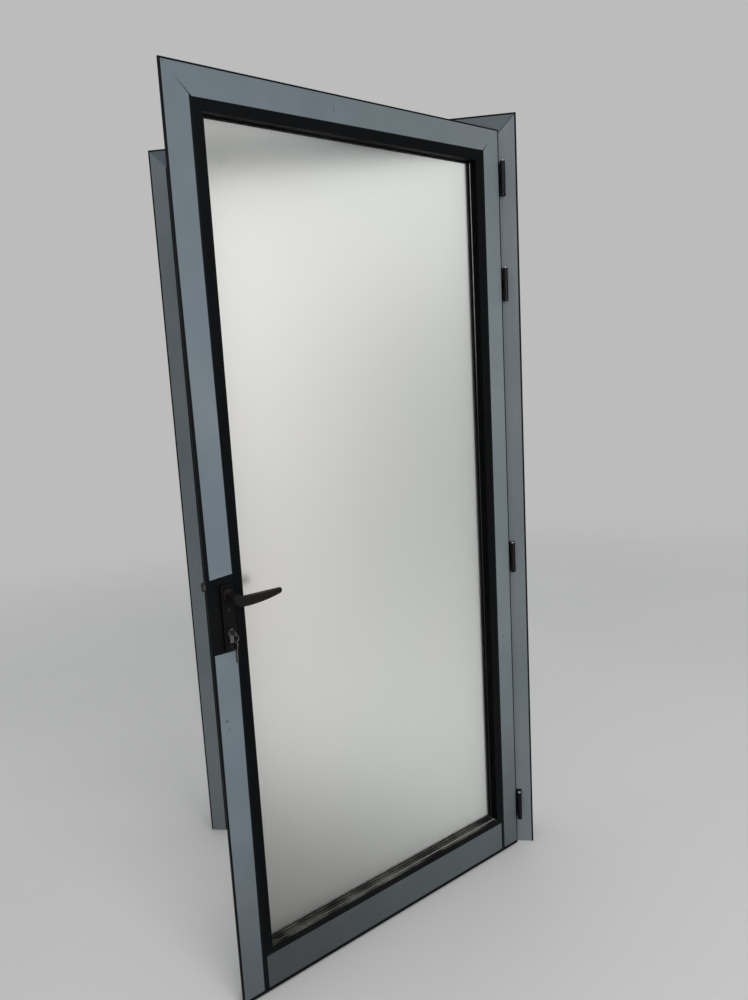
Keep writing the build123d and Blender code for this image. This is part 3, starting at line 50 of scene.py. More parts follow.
# The hollow bars: three jambs of the frame and four bars of the leaf, extruded aluminium sawn at 45 degrees
# and finished in a satin black powder coat. The coat has a fine orange-peel skin, and building dust has
# settled on the edges that face up.
MM = 0.001
BLACK_COAT = (0.0021, 0.0026, 0.0032, 1.0)
COAT_DUST = (0.20, 0.19, 0.17, 1.0)
COAT_SCUFFS = 0.06
ORANGE_PEEL = 850.0, 1.0        # scale and detail of the coat's skin
DUSTY_ROUGHNESS = 0.3           # how much rougher full dust makes a surface
NOISE_MIDDLE = 0.3, 0.7         # most of a noise's values lie between these


def add_node(tree, kind, **inputs):
    """A node of that kind in the tree, with plain values on its named inputs."""
    node = tree.nodes.new(kind)
    for name, value in inputs.items():
        node.inputs[name.replace("_", " ")].default_value = value
    return node


def new_group(name, wants, gives):
    """An empty shader node group: wants and gives list its sockets as (name, kind, value)."""
    tree = bpy.data.node_groups.new(name, "ShaderNodeTree")
    for socket, kind, value in wants:
        made = tree.interface.new_socket(name=socket, in_out="INPUT", socket_type=kind)
        if value is not None:
            made.default_value = value
    for socket, kind in gives:
        tree.interface.new_socket(name=socket, in_out="OUTPUT", socket_type=kind)
    return tree, tree.nodes.new("NodeGroupInput"), tree.nodes.new("NodeGroupOutput")


def put(tree, socket, value):
    """Links another socket to this one, or sets a plain value on it."""
    if isinstance(value, bpy.types.NodeSocket):
        tree.links.new(value, socket)
    else:
        socket.default_value = value


def math_node(tree, operation, first, second=0.0, clamp=False):
    """A Math node: first and second are sockets or plain numbers. Returns its output."""
    node = tree.nodes.new("ShaderNodeMath")
    node.operation = operation
    node.use_clamp = clamp
    for socket, value in zip(node.inputs, (first, second)):
        put(tree, socket, value)
    return node.outputs[0]


def ranged(tree, value, low, high, to_low=0.0, to_high=1.0):
    """The value mapped from low..high onto to_low..to_high and held there."""
    node = add_node(tree, "ShaderNodeMapRange", From_Min=low, From_Max=high, To_Min=to_low, To_Max=to_high)
    node.interpolation_type = "SMOOTHSTEP"
    tree.links.new(value, node.inputs["Value"])
    return node.outputs["Result"]


def noise(tree, vector, scale, detail=2.0, stretch=None):
    """A noise value over the vector, with its pattern stretched along the axes if asked."""
    if stretch:
        mapping = add_node(tree, "ShaderNodeMapping", Scale=stretch)
        tree.links.new(vector, mapping.inputs["Vector"])
        vector = mapping.outputs["Vector"]
    node = add_node(tree, "ShaderNodeTexNoise", Scale=scale, Detail=detail)
    tree.links.new(vector, node.inputs["Vector"])
    return node.outputs["Fac"]


def clouded(tree, vector, scale, detail, low=0.0, high=1.0):
    """Soft clouds: the middle of a noise's values spread over low..high."""
    return ranged(tree, noise(tree, vector, scale, detail), *NOISE_MIDDLE, low, high)


def mixed(tree, mask, first, second, blend="MIX"):
    """Two colours mixed by a mask: each is a socket or a plain colour."""
    node = tree.nodes.new("ShaderNodeMix")
    node.data_type = "RGBA"
    node.blend_type = blend
    for place, value in ((0, mask), (6, first), (7, second)):
        put(tree, node.inputs[place], value)
    return node.outputs[2]


def split(tree, vector):
    """The X, Y and Z sockets of a vector."""
    node = tree.nodes.new("ShaderNodeSeparateXYZ")
    tree.links.new(vector, node.inputs["Vector"])
    return node.outputs["X"], node.outputs["Y"], node.outputs["Z"]


# Both groups want a Vector and an Amount, and give a Mask.
VECTOR = ("Vector", "NodeSocketVector", None)
MASK = ("Mask", "NodeSocketFloat")
UPWARD = 0.15, 0.95             # dust grows from faces with this much of Z in their normal to these
UPRIGHT_DUST = 0.02             # how much of it sticks to upright faces
DUST_PATCHES = 0.35, 0.7        # the part of the broad noise over which a patch of dust grows
DUST_SPECKS = 420.0, 3.0        # scale and detail of the fine noise in it
SPECK_EDGE = 0.4, 0.65, 0.35    # from and to in the fine noise, and what is left between the specks
SCUFF_STREAKS = 60.0, 4.0       # scale and detail of the streaks, which are drawn out along Z
SCUFF_STRETCH = 9.0, 9.0, 0.5
SCUFF_PEAKS = 0.63, 0.72        # only the peaks of the streaks show
SCUFF_PLACES = 3.5, 1.0         # scale and detail of the noise that says where there are any
SCUFF_EDGE = 0.45, 0.7


def make_dust_group():
    """Settled dust: faces that look up, broken up by two noises. Amount raises it, Patch sets its scale."""
    wants = [VECTOR, ("Amount", "NodeSocketFloat", 0.4), ("Patch", "NodeSocketFloat", 9.0)]
    tree, taken, given = new_group("settled_dust", wants, [MASK])
    facing = split(tree, tree.nodes.new("ShaderNodeNewGeometry").outputs["Normal"])[2]
    up = ranged(tree, facing, *UPWARD)
    patch = tree.nodes.new("ShaderNodeTexNoise")
    tree.links.new(taken.outputs["Vector"], patch.inputs["Vector"])
    tree.links.new(taken.outputs["Patch"], patch.inputs["Scale"])
    specks = ranged(tree, noise(tree, taken.outputs["Vector"], *DUST_SPECKS), *SPECK_EDGE)
    speckled = math_node(tree, "MULTIPLY", ranged(tree, patch.outputs["Fac"], *DUST_PATCHES), specks)
    film = math_node(tree, "MULTIPLY", speckled, math_node(tree, "ADD", up, UPRIGHT_DUST))
    mask = math_node(tree, "MULTIPLY", film, taken.outputs["Amount"], clamp=True)
    tree.links.new(mask, given.inputs["Mask"])
    return tree


def make_scuff_group():
    """Hairline scuffs: thin light streaks along Z, where a stretched noise peaks."""
    tree, taken, given = new_group("hairline_scuffs", [VECTOR, ("Amount", "NodeSocketFloat", 0.5)], [MASK])
    streak = noise(tree, taken.outputs["Vector"], *SCUFF_STREAKS, stretch=SCUFF_STRETCH)
    where = noise(tree, taken.outputs["Vector"], *SCUFF_PLACES)
    both = math_node(tree, "MULTIPLY", ranged(tree, streak, *SCUFF_PEAKS), ranged(tree, where, *SCUFF_EDGE))
    mask = math_node(tree, "MULTIPLY", both, taken.outputs["Amount"], clamp=True)
    tree.links.new(mask, given.inputs["Mask"])
    return tree


DUST = make_dust_group()
SCUFFS = make_scuff_group()


def placed_group(tree, group, vector, **values):
    """One of the shared groups in a material, with its own values. Returns its mask."""
    node = tree.nodes.new("ShaderNodeGroup")
    node.node_tree = group
    tree.links.new(vector, node.inputs["Vector"])
    for name, value in values.items():
        node.inputs[name].default_value = value
    return node.outputs["Mask"]


def new_finish(name, **plain):
    """A material with one Principled shader and plain numbers on its sockets. Returns the material, its
    tree, the shader and the object's coordinates."""
    material = bpy.data.materials.new(name)
    material.use_nodes = True
    tree = material.node_tree
    shader = tree.nodes["Principled BSDF"]
    for socket, value in plain.items():
        shader.inputs[socket.replace("_", " ")].default_value = value
    return material, tree, shader, tree.nodes.new("ShaderNodeTexCoord").outputs["Object"]


def roughened(tree, shader, rough, dusty):
    """The shader's roughness, raised where dust lies."""
    extra = math_node(tree, "MULTIPLY", dusty, DUSTY_ROUGHNESS)
    tree.links.new(math_node(tree, "ADD", rough, extra), shader.inputs["Roughness"])


def bumped(tree, shader, height, strength, distance):
    """A Bump node from a height to the shader's normal."""
    bump = add_node(tree, "ShaderNodeBump", Strength=strength, Distance=distance)
    tree.links.new(height, bump.inputs["Height"])
    tree.links.new(bump.outputs["Normal"], shader.inputs["Normal"])


def black_coat(name, colour=BLACK_COAT, dust=0.3, rough=(0.40, 0.52), shine=0.08):
    """Satin powder coat: orange peel in the normal, cloudy roughness, dust and hairline scuffs in the
    colour. rough gives the roughness from one cloud to the next."""
    material, tree, shader, at = new_finish(name, Specular_IOR_Level=shine)
    dusty = placed_group(tree, DUST, at, Amount=dust)
    scuffed = placed_group(tree, SCUFFS, at, Amount=COAT_SCUFFS)
    tone = mixed(tree, dusty, colour, COAT_DUST)
    tree.links.new(mixed(tree, scuffed, tone, COAT_DUST), shader.inputs["Base Color"])
    roughened(tree, shader, clouded(tree, at, 6.0, 3.0, *rough), dusty)
    bumped(tree, shader, noise(tree, at, *ORANGE_PEEL), strength=0.12, distance=0.4 * MM)
    return material


def finish_nodes(material, *names):
    """Gives CAD pieces their material."""
    for name in names:
        nodes[name].data.materials.clear()
        nodes[name].data.materials.append(material)


bar_coat = black_coat("black powder coat")
finish_nodes(bar_coat, "hinge_jamb", "latch_jamb", "head_jamb")
finish_nodes(bar_coat, "latch_stile", "hinge_stile", "top_rail", "bottom_rail")

# The glazing beads: four clipped-in strips of the same extrusion round the pane, stepped towards the glass,
# in a duller batch of the black coat. The foot bead's ledge is olive grey: settled dust and a painted
# reflection of the pane.
bead_coat = black_coat("bead coat", dust=0.15, rough=(0.42, 0.54), shine=0.05)
finish_nodes(bead_coat, "glazing_bead_latch", "glazing_bead_hinge", "glazing_bead_top")
# foot bead: its heavy dust is partly settled dust and partly a painted reflection of the lit pane on the
# ledge
foot_bead_dust_and_reflection = black_coat("foot bead dust and painted reflection", dust=0.9, rough=(0.36, 0.48), shine=0.06)
finish_nodes(foot_bead_dust_and_reflection, "glazing_bead_bottom")

# Where the leaf stands: it is drawn open, so its pieces are worked out as if it were shut, with X along its
# face, Y into it and Z up, and then turned about the hinge axis. The joint gives the axis and the angle.
swing = next(joint for joint in frame["joints"] if joint["name"] == "leaf_swing")
REST_ANGLE = -math.radians(swing["range_deg"][0])
HINGE_AXIS = np.array([swing["pos_m"][0], swing["pos_m"][1], 0.0])
TURN = np.array(Matrix.Rotation(REST_ANGLE, 3, "Z"))


def opened(points):
    """Points of the shut leaf, turned about the hinge axis to where it stands open."""
    return (points - HINGE_AXIS) @ TURN.T + HINGE_AXIS


def shut_box(name):
    """Lowest and highest corner of a leaf piece, as it would be with the leaf shut."""
    mesh = nodes[name].data
    points = np.empty(len(mesh.vertices) * 3, np.float32)
    mesh.vertices.foreach_get("co", points)
    shut = (points.reshape(-1, 3) - HINGE_AXIS) @ TURN + HINGE_AXIS
    return shut.min(0), shut.max(0)


def shut_coordinates(tree, at):
    """The object's coordinates turned back to the shut leaf, so that a pattern lies along its face."""
    mapping = tree.nodes.new("ShaderNodeMapping")
    mapping.inputs["Rotation"].default_value = (0.0, 0.0, -REST_ANGLE)
    mapping.inputs["Location"].default_value = HINGE_AXIS - HINGE_AXIS @ TURN
    tree.links.new(at, mapping.inputs["Vector"])
    return mapping.outputs["Vector"]


# The frame's protective films: thin plastic sheet stuck to the faces when the bars were made, trimmed along
# the edges, mitred with them and slit at the inner corners. It is slightly crumpled, with shallow creases
# along the bars and a few trapped bubbles.
FILM = 0.3 * MM
PRESSED_FILM = 0.22 * MM        # where the stop's gasket presses it flat
# A mitred end: the share of it that is still closed, from the outer corner, how far each film is cut back at
# the inner corner past that, and how far along its whole length.
LEFT_MITRE = (0.40, 1.5 * MM, 0.0)
RIGHT_MITRE = (0.62, 1.9 * MM, 0.0)
CLOSED_MITRE = (0.0, 0.0, 0.0)
OPEN_MITRE = (0.0, 0.4 * MM, 0.9 * MM)
ROW_STEP = 6.0 * MM
COLUMNS = 22
MITRE_REACH = 90.0 * MM         # the rows lean towards the mitre over this length
NOTCH_STEP = 0.02 * MM          # the rows on each side of a notch's edge lie this far from it
CUT_ROWS = 0.12, 0.25, 0.4, 0.6, 1.3, 1.6       # extra rows near a curled end, in row steps
CREASES_A_METRE = 42
CREASE_LONG = 14.0, 60.0        # half length of a crease, in millimetres
CREASE_WIDE = 2.24, 5.12        # its half width
CREASE_TALL = 0.05, 0.16        # its height
CREASE_LEAN = 0.16              # spread of the angle between a crease and its bar
BUBBLE_LONG = 2.5, 5.0          # half length of a bubble, in millimetres
BUBBLE_SHARE = 0.12             # this share of the creases are bubbles instead
BUBBLE_TALL = 1.6               # and they stand this much higher
CURL = 1.1 * MM                 # how far a cut end of the film has curled up
CURL_REACH = 3.0 * MM           # the curl dies away over this length
SLANT_REACH = 18.0 * MM         # and the slant of the cut over this one
FRAME_FILM_COLOUR = (0.135, 0.153, 0.162, 1.0)
HEAD_FILM_PAINTED_SHADE = (0.55, 0.61, 0.64, 1.0)   # painted shade: the head's film is this share of it


def creases(along, across, seed, count):
    """Height of shallow creases and bubbles: a sum of Gaussian ridges, long and thin or round, at places
    drawn from a seed. s runs along a ridge and t across it."""
    draw = np.random.default_rng(seed)
    at = draw.uniform(along.min(), along.max(), count)
    side = draw.uniform(across.min(), across.max(), count)
    turn = draw.normal(0.0, CREASE_LEAN, count)
    long_reach = draw.uniform(*CREASE_LONG, count) * MM
    thin_reach = draw.uniform(*CREASE_WIDE, count) * MM
    tall = draw.uniform(*CREASE_TALL, count) * MM
    bubbles = draw.random(count) < BUBBLE_SHARE
    long_reach[bubbles] = draw.uniform(*BUBBLE_LONG, bubbles.sum()) * MM
    tall[bubbles] *= BUBBLE_TALL
    height = np.zeros_like(along)
    for k in range(count):
        a, c = along - at[k], across - side[k]
        s = a * math.cos(turn[k]) + c * math.sin(turn[k])
        t = c * math.cos(turn[k]) - a * math.sin(turn[k])
        height += tall[k] * np.exp(-(s / long_reach[k]) ** 2 - (t / thin_reach[k]) ** 2)
    return height


def mitre_shift(across, near, far, mitre):
    """How much shorter the film is at a distance from the outer edge: 45 degrees, plus what is cut back."""
    closed, slit, root = mitre
    joined = near + (far - near) * closed
    return (across - near) + root + slit * np.clip((across - joined) / (far - joined), 0.0, 1.0)


def film_strip(
        low, high, near, far, seed, start=None, end=None, notches=(), notch_far=0.0, lay=None, cut=None,
        flat=False):
    """A film strip as a grid of (along, across, height). Rows run across it; at a mitred start or end they
    lean to 45 degrees; in a notch the far edge draws back. lay shifts the near and the far edge by functions
    of the row, and cut slants the low end and curls it up: both die away as exp(-distance / reach). The
    height is the film's thickness and its creases, or one level if it lies flat."""
    rows = np.arange(low, high, ROW_STEP)
    steps = [edge + side * NOTCH_STEP for pair in notches for edge in pair for side in (-1, 1)]
    if cut:
        steps += [low + ROW_STEP * share for share in CUT_ROWS]
    rows = np.unique(np.concatenate([rows, [high], steps]))
    reach = np.full(len(rows), far)
    for foot, top in notches:
        reach[(rows > foot) & (rows < top)] = notch_far
    start_edge = np.full(len(rows), near)
    if lay:
        start_edge = start_edge + lay[0](rows)
        reach = reach + lay[1](rows)
    share = np.linspace(0.0, 1.0, COLUMNS)
    across = start_edge[:, None] + (reach - start_edge)[:, None] * share[None, :]
    along = np.repeat(rows[:, None], COLUMNS, axis=1)
    if end:
        lean = np.clip((rows - (high - MITRE_REACH)) / MITRE_REACH, 0.0, 1.0)
        along -= lean[:, None] * mitre_shift(across, near, far, end)
    if start:
        lean = np.clip(((low + MITRE_REACH) - rows) / MITRE_REACH, 0.0, 1.0)
        along += lean[:, None] * mitre_shift(across, near, far, start)
    if flat:
        height = np.full_like(along, PRESSED_FILM)
    else:
        height = FILM + creases(along, across, seed, int((high - low) * CREASES_A_METRE))
    if cut:
        from_end = (rows - low)[:, None]
        along += (cut[0] + (cut[1] - cut[0]) * share[None, :]) * np.exp(-from_end / SLANT_REACH)
        wave = 0.45 + 0.55 * np.sin(7.0 * share[None, :] + 0.4) ** 2
        height += CURL * np.exp(-from_end / CURL_REACH) * wave
    return np.stack([along, across, height], axis=-1)


def shell_of(grid):
    """Vertices and faces of a closed shell under a height grid: the top, a skirt down to height 0 and a flat
    back made of rungs from edge to edge, with the end rungs taking in the end rows."""
    count, width = grid.shape[:2]
    top = grid.reshape(-1, 3)
    number = np.arange(count * width).reshape(count, width)
    rim = np.concatenate([number[0, :-1], number[:-1, -1], number[-1, :0:-1], number[:0:-1, 0]])
    foot = top[rim].copy()
    foot[:, 2] = 0.0
    under = np.arange(len(rim)) + len(top)
    corners = [number[:-1, :-1], number[:-1, 1:], number[1:, 1:], number[1:, :-1]]
    quads = np.stack(corners, axis=-1).reshape(-1, 4)
    skirt = np.stack([rim, under, np.roll(under, -1), np.roll(rim, -1)], axis=-1)
    beneath = np.zeros(count * width, int)
    beneath[rim] = under
    below = beneath[number]
    first = below[0, ::-1].tolist() + [below[1, 0], below[1, -1]]
    rungs = np.stack([below[1:-2, 0], below[2:-1, 0], below[2:-1, -1], below[1:-2, -1]], axis=-1)
    last = below[-1].tolist() + [below[-2, -1], below[-2, 0]]
    return np.concatenate([top, foot]), quads.tolist() + skirt.tolist() + [first] + rungs.tolist() + [last]


def new_piece(name, parts, material, body, stands_for=()):
    """One object from parts, each (vertices, faces) in the row frame, with its finish and body; the CAD parts
    it stands for are hidden.
    """
    vertices, faces, start = [], [], 0
    for points, polygons in parts:
        vertices.append(points)
        faces += [[index + start for index in polygon] for polygon in polygons]
        start += len(points)
    mesh = bpy.data.meshes.new(name)
    mesh.from_pydata(np.concatenate(vertices).tolist(), [], faces)
    mesh.validate()
    mesh.polygons.foreach_set("use_smooth", [True] * len(mesh.polygons))
    mesh.set_sharp_from_angle(angle=math.radians(35.0))
    mesh.materials.append(material)
    piece = bpy.data.objects.new(name, mesh)
    bpy.context.scene.collection.objects.link(piece)
    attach(piece, body)
    if stands_for:
        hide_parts(*stands_for)


def outward(points, faces):
    """The same shell with its faces turned outwards, going by its signed volume."""
    total = 0.0
    for face in faces:
        fan = points[face]
        total += (np.cross(fan[1:-1], fan[2:]) @ fan[0]).sum()
    return (points, faces) if total > 0 else (points, [face[::-1] for face in faces])


def strip_on(grid, along_axis, start, toward, face_y, way, turn=None):
    """A film grid put on a face: across is measured from start towards toward, and way is the side it lies
    on. turn takes a leaf's strip to where the leaf stands."""
    points, faces = shell_of(grid)
    side = start + toward * points[:, 1]
    depth = face_y + way * points[:, 2]
    order = (side, depth, points[:, 0]) if along_axis == "z" else (points[:, 0], depth, side)
    placed = np.stack(order, axis=-1)
    return outward(turn(placed) if turn else placed, faces)


def tinted(tree, colour, tint):
    """Two colours multiplied: each is a socket or a plain colour."""
    return mixed(tree, 1.0, colour, tint, "MULTIPLY")


def share_of(colour, shares):
    """A plain colour multiplied channel by channel."""
    return tuple(c * share for c, share in zip(colour, shares))


FILM_SCUFFS = (0.30, 0.33, 0.35, 1.0)
FILM_DUST = (0.34, 0.33, 0.31, 1.0)
FILM_MARKS = (0.02, 0.024, 0.03, 1.0)
FILM_TINTS = (0.89, 0.955, 1.0, 1.0), (1.09, 1.09, 1.09, 1.0)       # from one cloud to the next
FILM_ROUGHNESS = 0.30, 0.46
PAINTED_SHADING_CLOUDS = 0.98, 1.02          # the painted light and shade are this uneven, in soft clouds
ROLLER_STRETCH = 1.0, 1.0, 0.12     # the roller that laid the film left streaks along Z
MARK_EDGE = 1.0, 0.2            # a mark grows to its strength between these
MARK_GRAIN = 900.0, 2.0         # scale and detail of the noise that breaks it up
MARK_SPECKS = 0.35, 0.6, 0.25   # from and to in that noise, and what is left between the specks


def spotted(tree, tone, place, grain, mark):
    """A tone with one mark on it: (x, z, half width, half height, strength) on the shut leaf. The mark fades
    out as (distance in x / half width) squared + (distance in z / half height) squared nears 1."""
    x, z, wide, tall, strength = mark
    across = math_node(tree, "DIVIDE", math_node(tree, "SUBTRACT", place[0], x), wide)
    up = math_node(tree, "DIVIDE", math_node(tree, "SUBTRACT", place[2], z), tall)
    across, up = math_node(tree, "POWER", across, 2.0), math_node(tree, "POWER", up, 2.0)
    off = math_node(tree, "ADD", across, up)
    spot = math_node(tree, "MULTIPLY", ranged(tree, off, *MARK_EDGE, 0.0, strength), grain)
    return mixed(tree, spot, tone, FILM_MARKS)


def film_finish(name, colour, marks=(), faded=None, shades=()):
    """Slate-blue film: cloudy tint, streaks from the roller, soft gloss, dust and small dark marks. faded is
    (tone, from x, to x): the film fades to that tone between them. shades lists painted light and shade as
    (from z, to z, share, share): the tone's share at those two heights, broken up by soft clouds."""
    material, tree, shader, at = new_finish(
        name, Specular_IOR_Level=0.34, Coat_Weight=0.08, Coat_Roughness=0.2)
    if marks:
        at = shut_coordinates(tree, at)
    place = split(tree, at)
    if faded:
        tone, *span = faded
        colour = mixed(tree, ranged(tree, place[0], *span), colour, tone)
    tone = tinted(tree, colour, mixed(tree, clouded(tree, at, 2.6, 2.0), *FILM_TINTS))
    # painted light and shade by height, made uneven by soft clouds
    for low, high, from_share, to_share in shades:
        level = ranged(tree, place[2], low, high, from_share, to_share)
        uneven_shading = clouded(tree, at, 11.0, 4.0, *PAINTED_SHADING_CLOUDS)
        tone = tinted(tree, tone, math_node(tree, "MULTIPLY", level, uneven_shading))
    tone = mixed(tree, placed_group(tree, SCUFFS, at, Amount=0.22), tone, FILM_SCUFFS)
    dusty = placed_group(tree, DUST, at, Amount=0.5, Patch=14.0)
    tone = mixed(tree, dusty, tone, FILM_DUST)
    if marks:
        grain = ranged(tree, noise(tree, at, *MARK_GRAIN), *MARK_SPECKS)
        for mark in marks:
            tone = spotted(tree, tone, place, grain, mark)
    tree.links.new(tone, shader.inputs["Base Color"])
    roughened(tree, shader, clouded(tree, at, 7.0, 3.0, *FILM_ROUGHNESS), dusty)
    roller = noise(tree, at, 90.0, 2.0, stretch=ROLLER_STRETCH)
    bumped(tree, shader, roller, strength=0.08, distance=0.6 * MM)
    return material


frame_low, frame_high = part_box("hinge_jamb")
latch_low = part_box("latch_jamb")[0]
FRAME_TOP = frame_high.z
FRAME_LEFT, FRAME_RIGHT = latch_low.x, frame_high.x
FRAME_FACE_Y = frame_low.y
FRAME_NEAR, FRAME_FAR = 5.0 * MM, 55.0 * MM     # the film's edges, from the frame's outer edge
LATCH_JAMB_FAR = 50.5 * MM      # the latch jamb's film is narrower
WING_CLEAR = 1.0 * MM           # the film is cut this far clear of the hinges' wings
FRAME_FOOT_PAINTED_LIGHT = [(0.0, 1.6, 1.28, 1.0)]       # painted light: the frame film's tone is lighter near the floor
hinge_boxes = [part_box(f"hinge_frame_leaf_{k}") for k in (1, 2, 3, 4)]
wing_notches = [(low.z - WING_CLEAR, high.z + WING_CLEAR) for low, high in hinge_boxes]
wing_edge = FRAME_RIGHT - hinge_boxes[0][1].x - WING_CLEAR

frame_film = film_finish("frame film", FRAME_FILM_COLOUR, shades=FRAME_FOOT_PAINTED_LIGHT)
head_film = film_finish("head film", share_of(FRAME_FILM_COLOUR, HEAD_FILM_PAINTED_SHADE))
top_of_film = FRAME_TOP - FRAME_NEAR
jamb_strip = film_strip(
    0.0, top_of_film, FRAME_NEAR, FRAME_FAR, seed=11, end=OPEN_MITRE, notches=wing_notches,
    notch_far=wing_edge)
new_piece(
    "hinge_jamb_film_sheet", [strip_on(jamb_strip, "z", FRAME_RIGHT, -1, FRAME_FACE_Y, -1)], frame_film,
    "frame", ["hinge_jamb_film"])
jamb_strip = film_strip(0.0, top_of_film, FRAME_NEAR, LATCH_JAMB_FAR, seed=12, end=CLOSED_MITRE)
new_piece(
    "latch_jamb_film_sheet", [strip_on(jamb_strip, "z", FRAME_LEFT, 1, FRAME_FACE_Y, -1)], frame_film,
    "frame", ["latch_jamb_film"])
head_strip = film_strip(
    FRAME_LEFT + FRAME_NEAR, FRAME_RIGHT - FRAME_NEAR, FRAME_NEAR, FRAME_FAR, seed=13, start=CLOSED_MITRE,
    end=OPEN_MITRE)
new_piece(
    "head_film_sheet", [strip_on(head_strip, "x", FRAME_TOP, -1, FRAME_FACE_Y, -1)], head_film,
    "frame", ["head_film"])

# The leaf's films: the same sheet stuck on its face and its back, where the stop's gasket presses it flat. It
# is cut away for the handle plate, has crept towards the pane by the cut, and laps over the bead at the top
# rail. Two smudges, two short ticks and a few dots are on it.
LEAF_FILM_COLOUR = (0.147, 0.177, 0.199, 1.0)
FADED_FILM_COLOUR = (0.153, 0.179, 0.187, 1.0)
FADE_WIDTH = 0.9                # it has faded to that over this width, from the latch side to the hinge side
RAIL_FILM_PAINTED_SHADE = (0.52, 0.48, 0.44, 1.0)   # painted shade: the bottom rail's film, low by the floor, is this share of the leaf film's tone
CREEP_FROM, CREEP = 1.78, 5.4 * MM          # the upper film's creep grows from this height to the cut
CREEP_BELOW_FROM, CREEP_BELOW = 0.55, 2.0 * MM      # and the lower film's up to the cut
NARROW_FROM, NARROWER = 0.5, 2.0 * MM       # the lower film's far edge is drawn in from here to the foot
LAP, LAP_MORE = 1.0 * MM, 4.2 * MM          # the top film's lap at the hinge side, and more at the latch side
CUT_SLANT = -1.0 * MM, 4.3 * MM             # the upper film's cut end, at its near and its far edge
leaf_low, leaf_high = shut_box("latch_stile")
LEAF_LEFT, LEAF_TOP = leaf_low[0], leaf_high[2]
LEAF_RIGHT = shut_box("hinge_stile")[1][0]
FACES = {"face": (leaf_low[1], -1), "back": (leaf_high[1], 1)}
EDGES = {"face": (4.5 * MM, 60.5 * MM), "back": (26.5 * MM, 83.5 * MM)}
film_foot = shut_box("hinge_stile_film")[0][2]
cut_low = shut_box("latch_stile_film_lower")[1][2]
cut_high = shut_box("latch_stile_film_upper")[0][2]
rail_low, rail_high = shut_box("bottom_rail_film")
FILM_LEFT = LEAF_LEFT + EDGES["face"][0]
leaf_film_painted_shade = [(0.0, 0.62, 0.54, 1.0), (1.60, 2.10, 1.0, 0.84)]      # painted shade: darker near the floor and the head
film_fade = FADED_FILM_COLOUR, FILM_LEFT, FILM_LEFT + FADE_WIDTH
# Each mark is x, z, half width, half height and strength.
marks = [
    (FILM_LEFT + 0.4229, 2.1215, 0.0009, 0.0078, 0.85), (FILM_LEFT + 0.4225, 2.1135, 0.0024, 0.0021, 0.9),
    (FILM_LEFT + 0.0174, 0.7337, 0.0055, 0.0040, 0.8), (FILM_LEFT + 0.0206, 0.7131, 0.0062, 0.0024, 0.55),
    (FILM_LEFT + 0.9450, 0.7000, 0.0032, 0.0062, 0.85), (FILM_LEFT + 0.9455, 0.6720, 0.0038, 0.0022, 0.75),
    (FILM_LEFT + 0.0045, LEAF_TOP - 0.0085, 0.0017, 0.0026, 0.95),
]
rail_marks = [
    (FILM_LEFT + 0.3705, 0.0670, 0.0009, 0.0060, 0.7), (FILM_LEFT + 0.1286, 0.0650, 0.0021, 0.0021, 0.85),
]
leaf_film = film_finish("leaf film", LEAF_FILM_COLOUR, marks, film_fade, leaf_film_painted_shade)
rail_shaded_tone = share_of(LEAF_FILM_COLOUR, RAIL_FILM_PAINTED_SHADE)
rail_film = film_finish("rail film", rail_shaded_tone, rail_marks, film_fade, leaf_film_painted_shade[:1])


def eased(rows, still, far_end, amount):
    """A shift that is nought up to the row called still and grows evenly to its amount at far_end."""
    return amount * np.clip((rows - still) / (far_end - still), 0.0, 1.0)


def crept(rows):
    """The upper film's shift towards the pane, from nothing high up to its most at the cut."""
    return eased(rows, CREEP_FROM, cut_high, CREEP)


def crept_below(rows):
    """The lower film's shift towards the pane, most at the cut and nothing further down."""
    return eased(rows, CREEP_BELOW_FROM, cut_low, CREEP_BELOW)


def crept_narrower(rows):
    """The lower film's far edge: shifted with the near one, and drawn in towards the foot."""
    return crept_below(rows) - eased(rows, NARROW_FROM, film_foot, NARROWER)


def square(rows):
    """An edge that lies where it was put."""
    return np.zeros_like(rows)


def lapped(rows):
    """The top film's lower edge: further down by the lap, which grows evenly from the hinge side to the latch
    side."""
    return LAP + LAP_MORE * (LEAF_RIGHT - rows) / (LEAF_RIGHT - LEAF_LEFT)


def leaf_sheets(name, seed, edge, strip, material=leaf_film):
    """A leaf film on face and back as one piece: strip gives its grid for a side, and edge says which way it
    runs, where across starts and which way across goes."""
    axis, start, toward = edge
    sheets = []
    for side, (face_y, way) in FACES.items():
        sheets.append(strip_on(strip(side, *EDGES[side], seed), axis, start, toward, face_y, way, opened))
        seed += 1
    new_piece(f"{name}_sheet", sheets, material, "leaf", [name])


def upper_strip(side, near, far, seed):
    """Latch stile above the cut: on the face it has crept, and its cut end is slanted and curled."""
    wear_and_highlight = {"lay": (crept, crept), "cut": CUT_SLANT} if side == "face" else {}
    return film_strip(cut_high, LEAF_TOP - near, near, far, seed, end=LEFT_MITRE, flat=side == "back", **wear_and_highlight)


def lower_strip(side, near, far, seed):
    """Latch stile below the cut, down to the leaf's foot."""
    wear_and_highlight = {"lay": (crept_below, crept_narrower)} if side == "face" else {}
    return film_strip(film_foot, cut_low, near, far, seed, flat=side == "back", **wear_and_highlight)


def hinge_strip(side, near, far, seed):
    """Hinge stile, from the foot to the mitre."""
    return film_strip(film_foot, LEAF_TOP - near, near, far, seed, end=RIGHT_MITRE, flat=side == "back")


def top_strip(side, near, far, seed):
    """Top rail, mitred at both ends."""
    wear_and_highlight = {"lay": (square, lapped)} if side == "face" else {}
    ends = LEAF_LEFT + near, LEAF_RIGHT - near
    return film_strip(*ends, near, far, seed, LEFT_MITRE, RIGHT_MITRE, flat=side == "back", **wear_and_highlight)


# The rail's film stops short of the stiles: a little on the face, and by the stiles' rear legs on the back.
RAIL_INSET = {"face": 5.0 * MM, "back": 22.0 * MM}


def rail_strip(side, near, far, seed):
    """Bottom rail: a plain strip from stile to stile that laps over the bead."""
    inset = RAIL_INSET[side]
    return film_strip(rail_low[0] + inset, rail_high[0] - inset, 0.0, rail_high[2] - rail_low[2], seed)


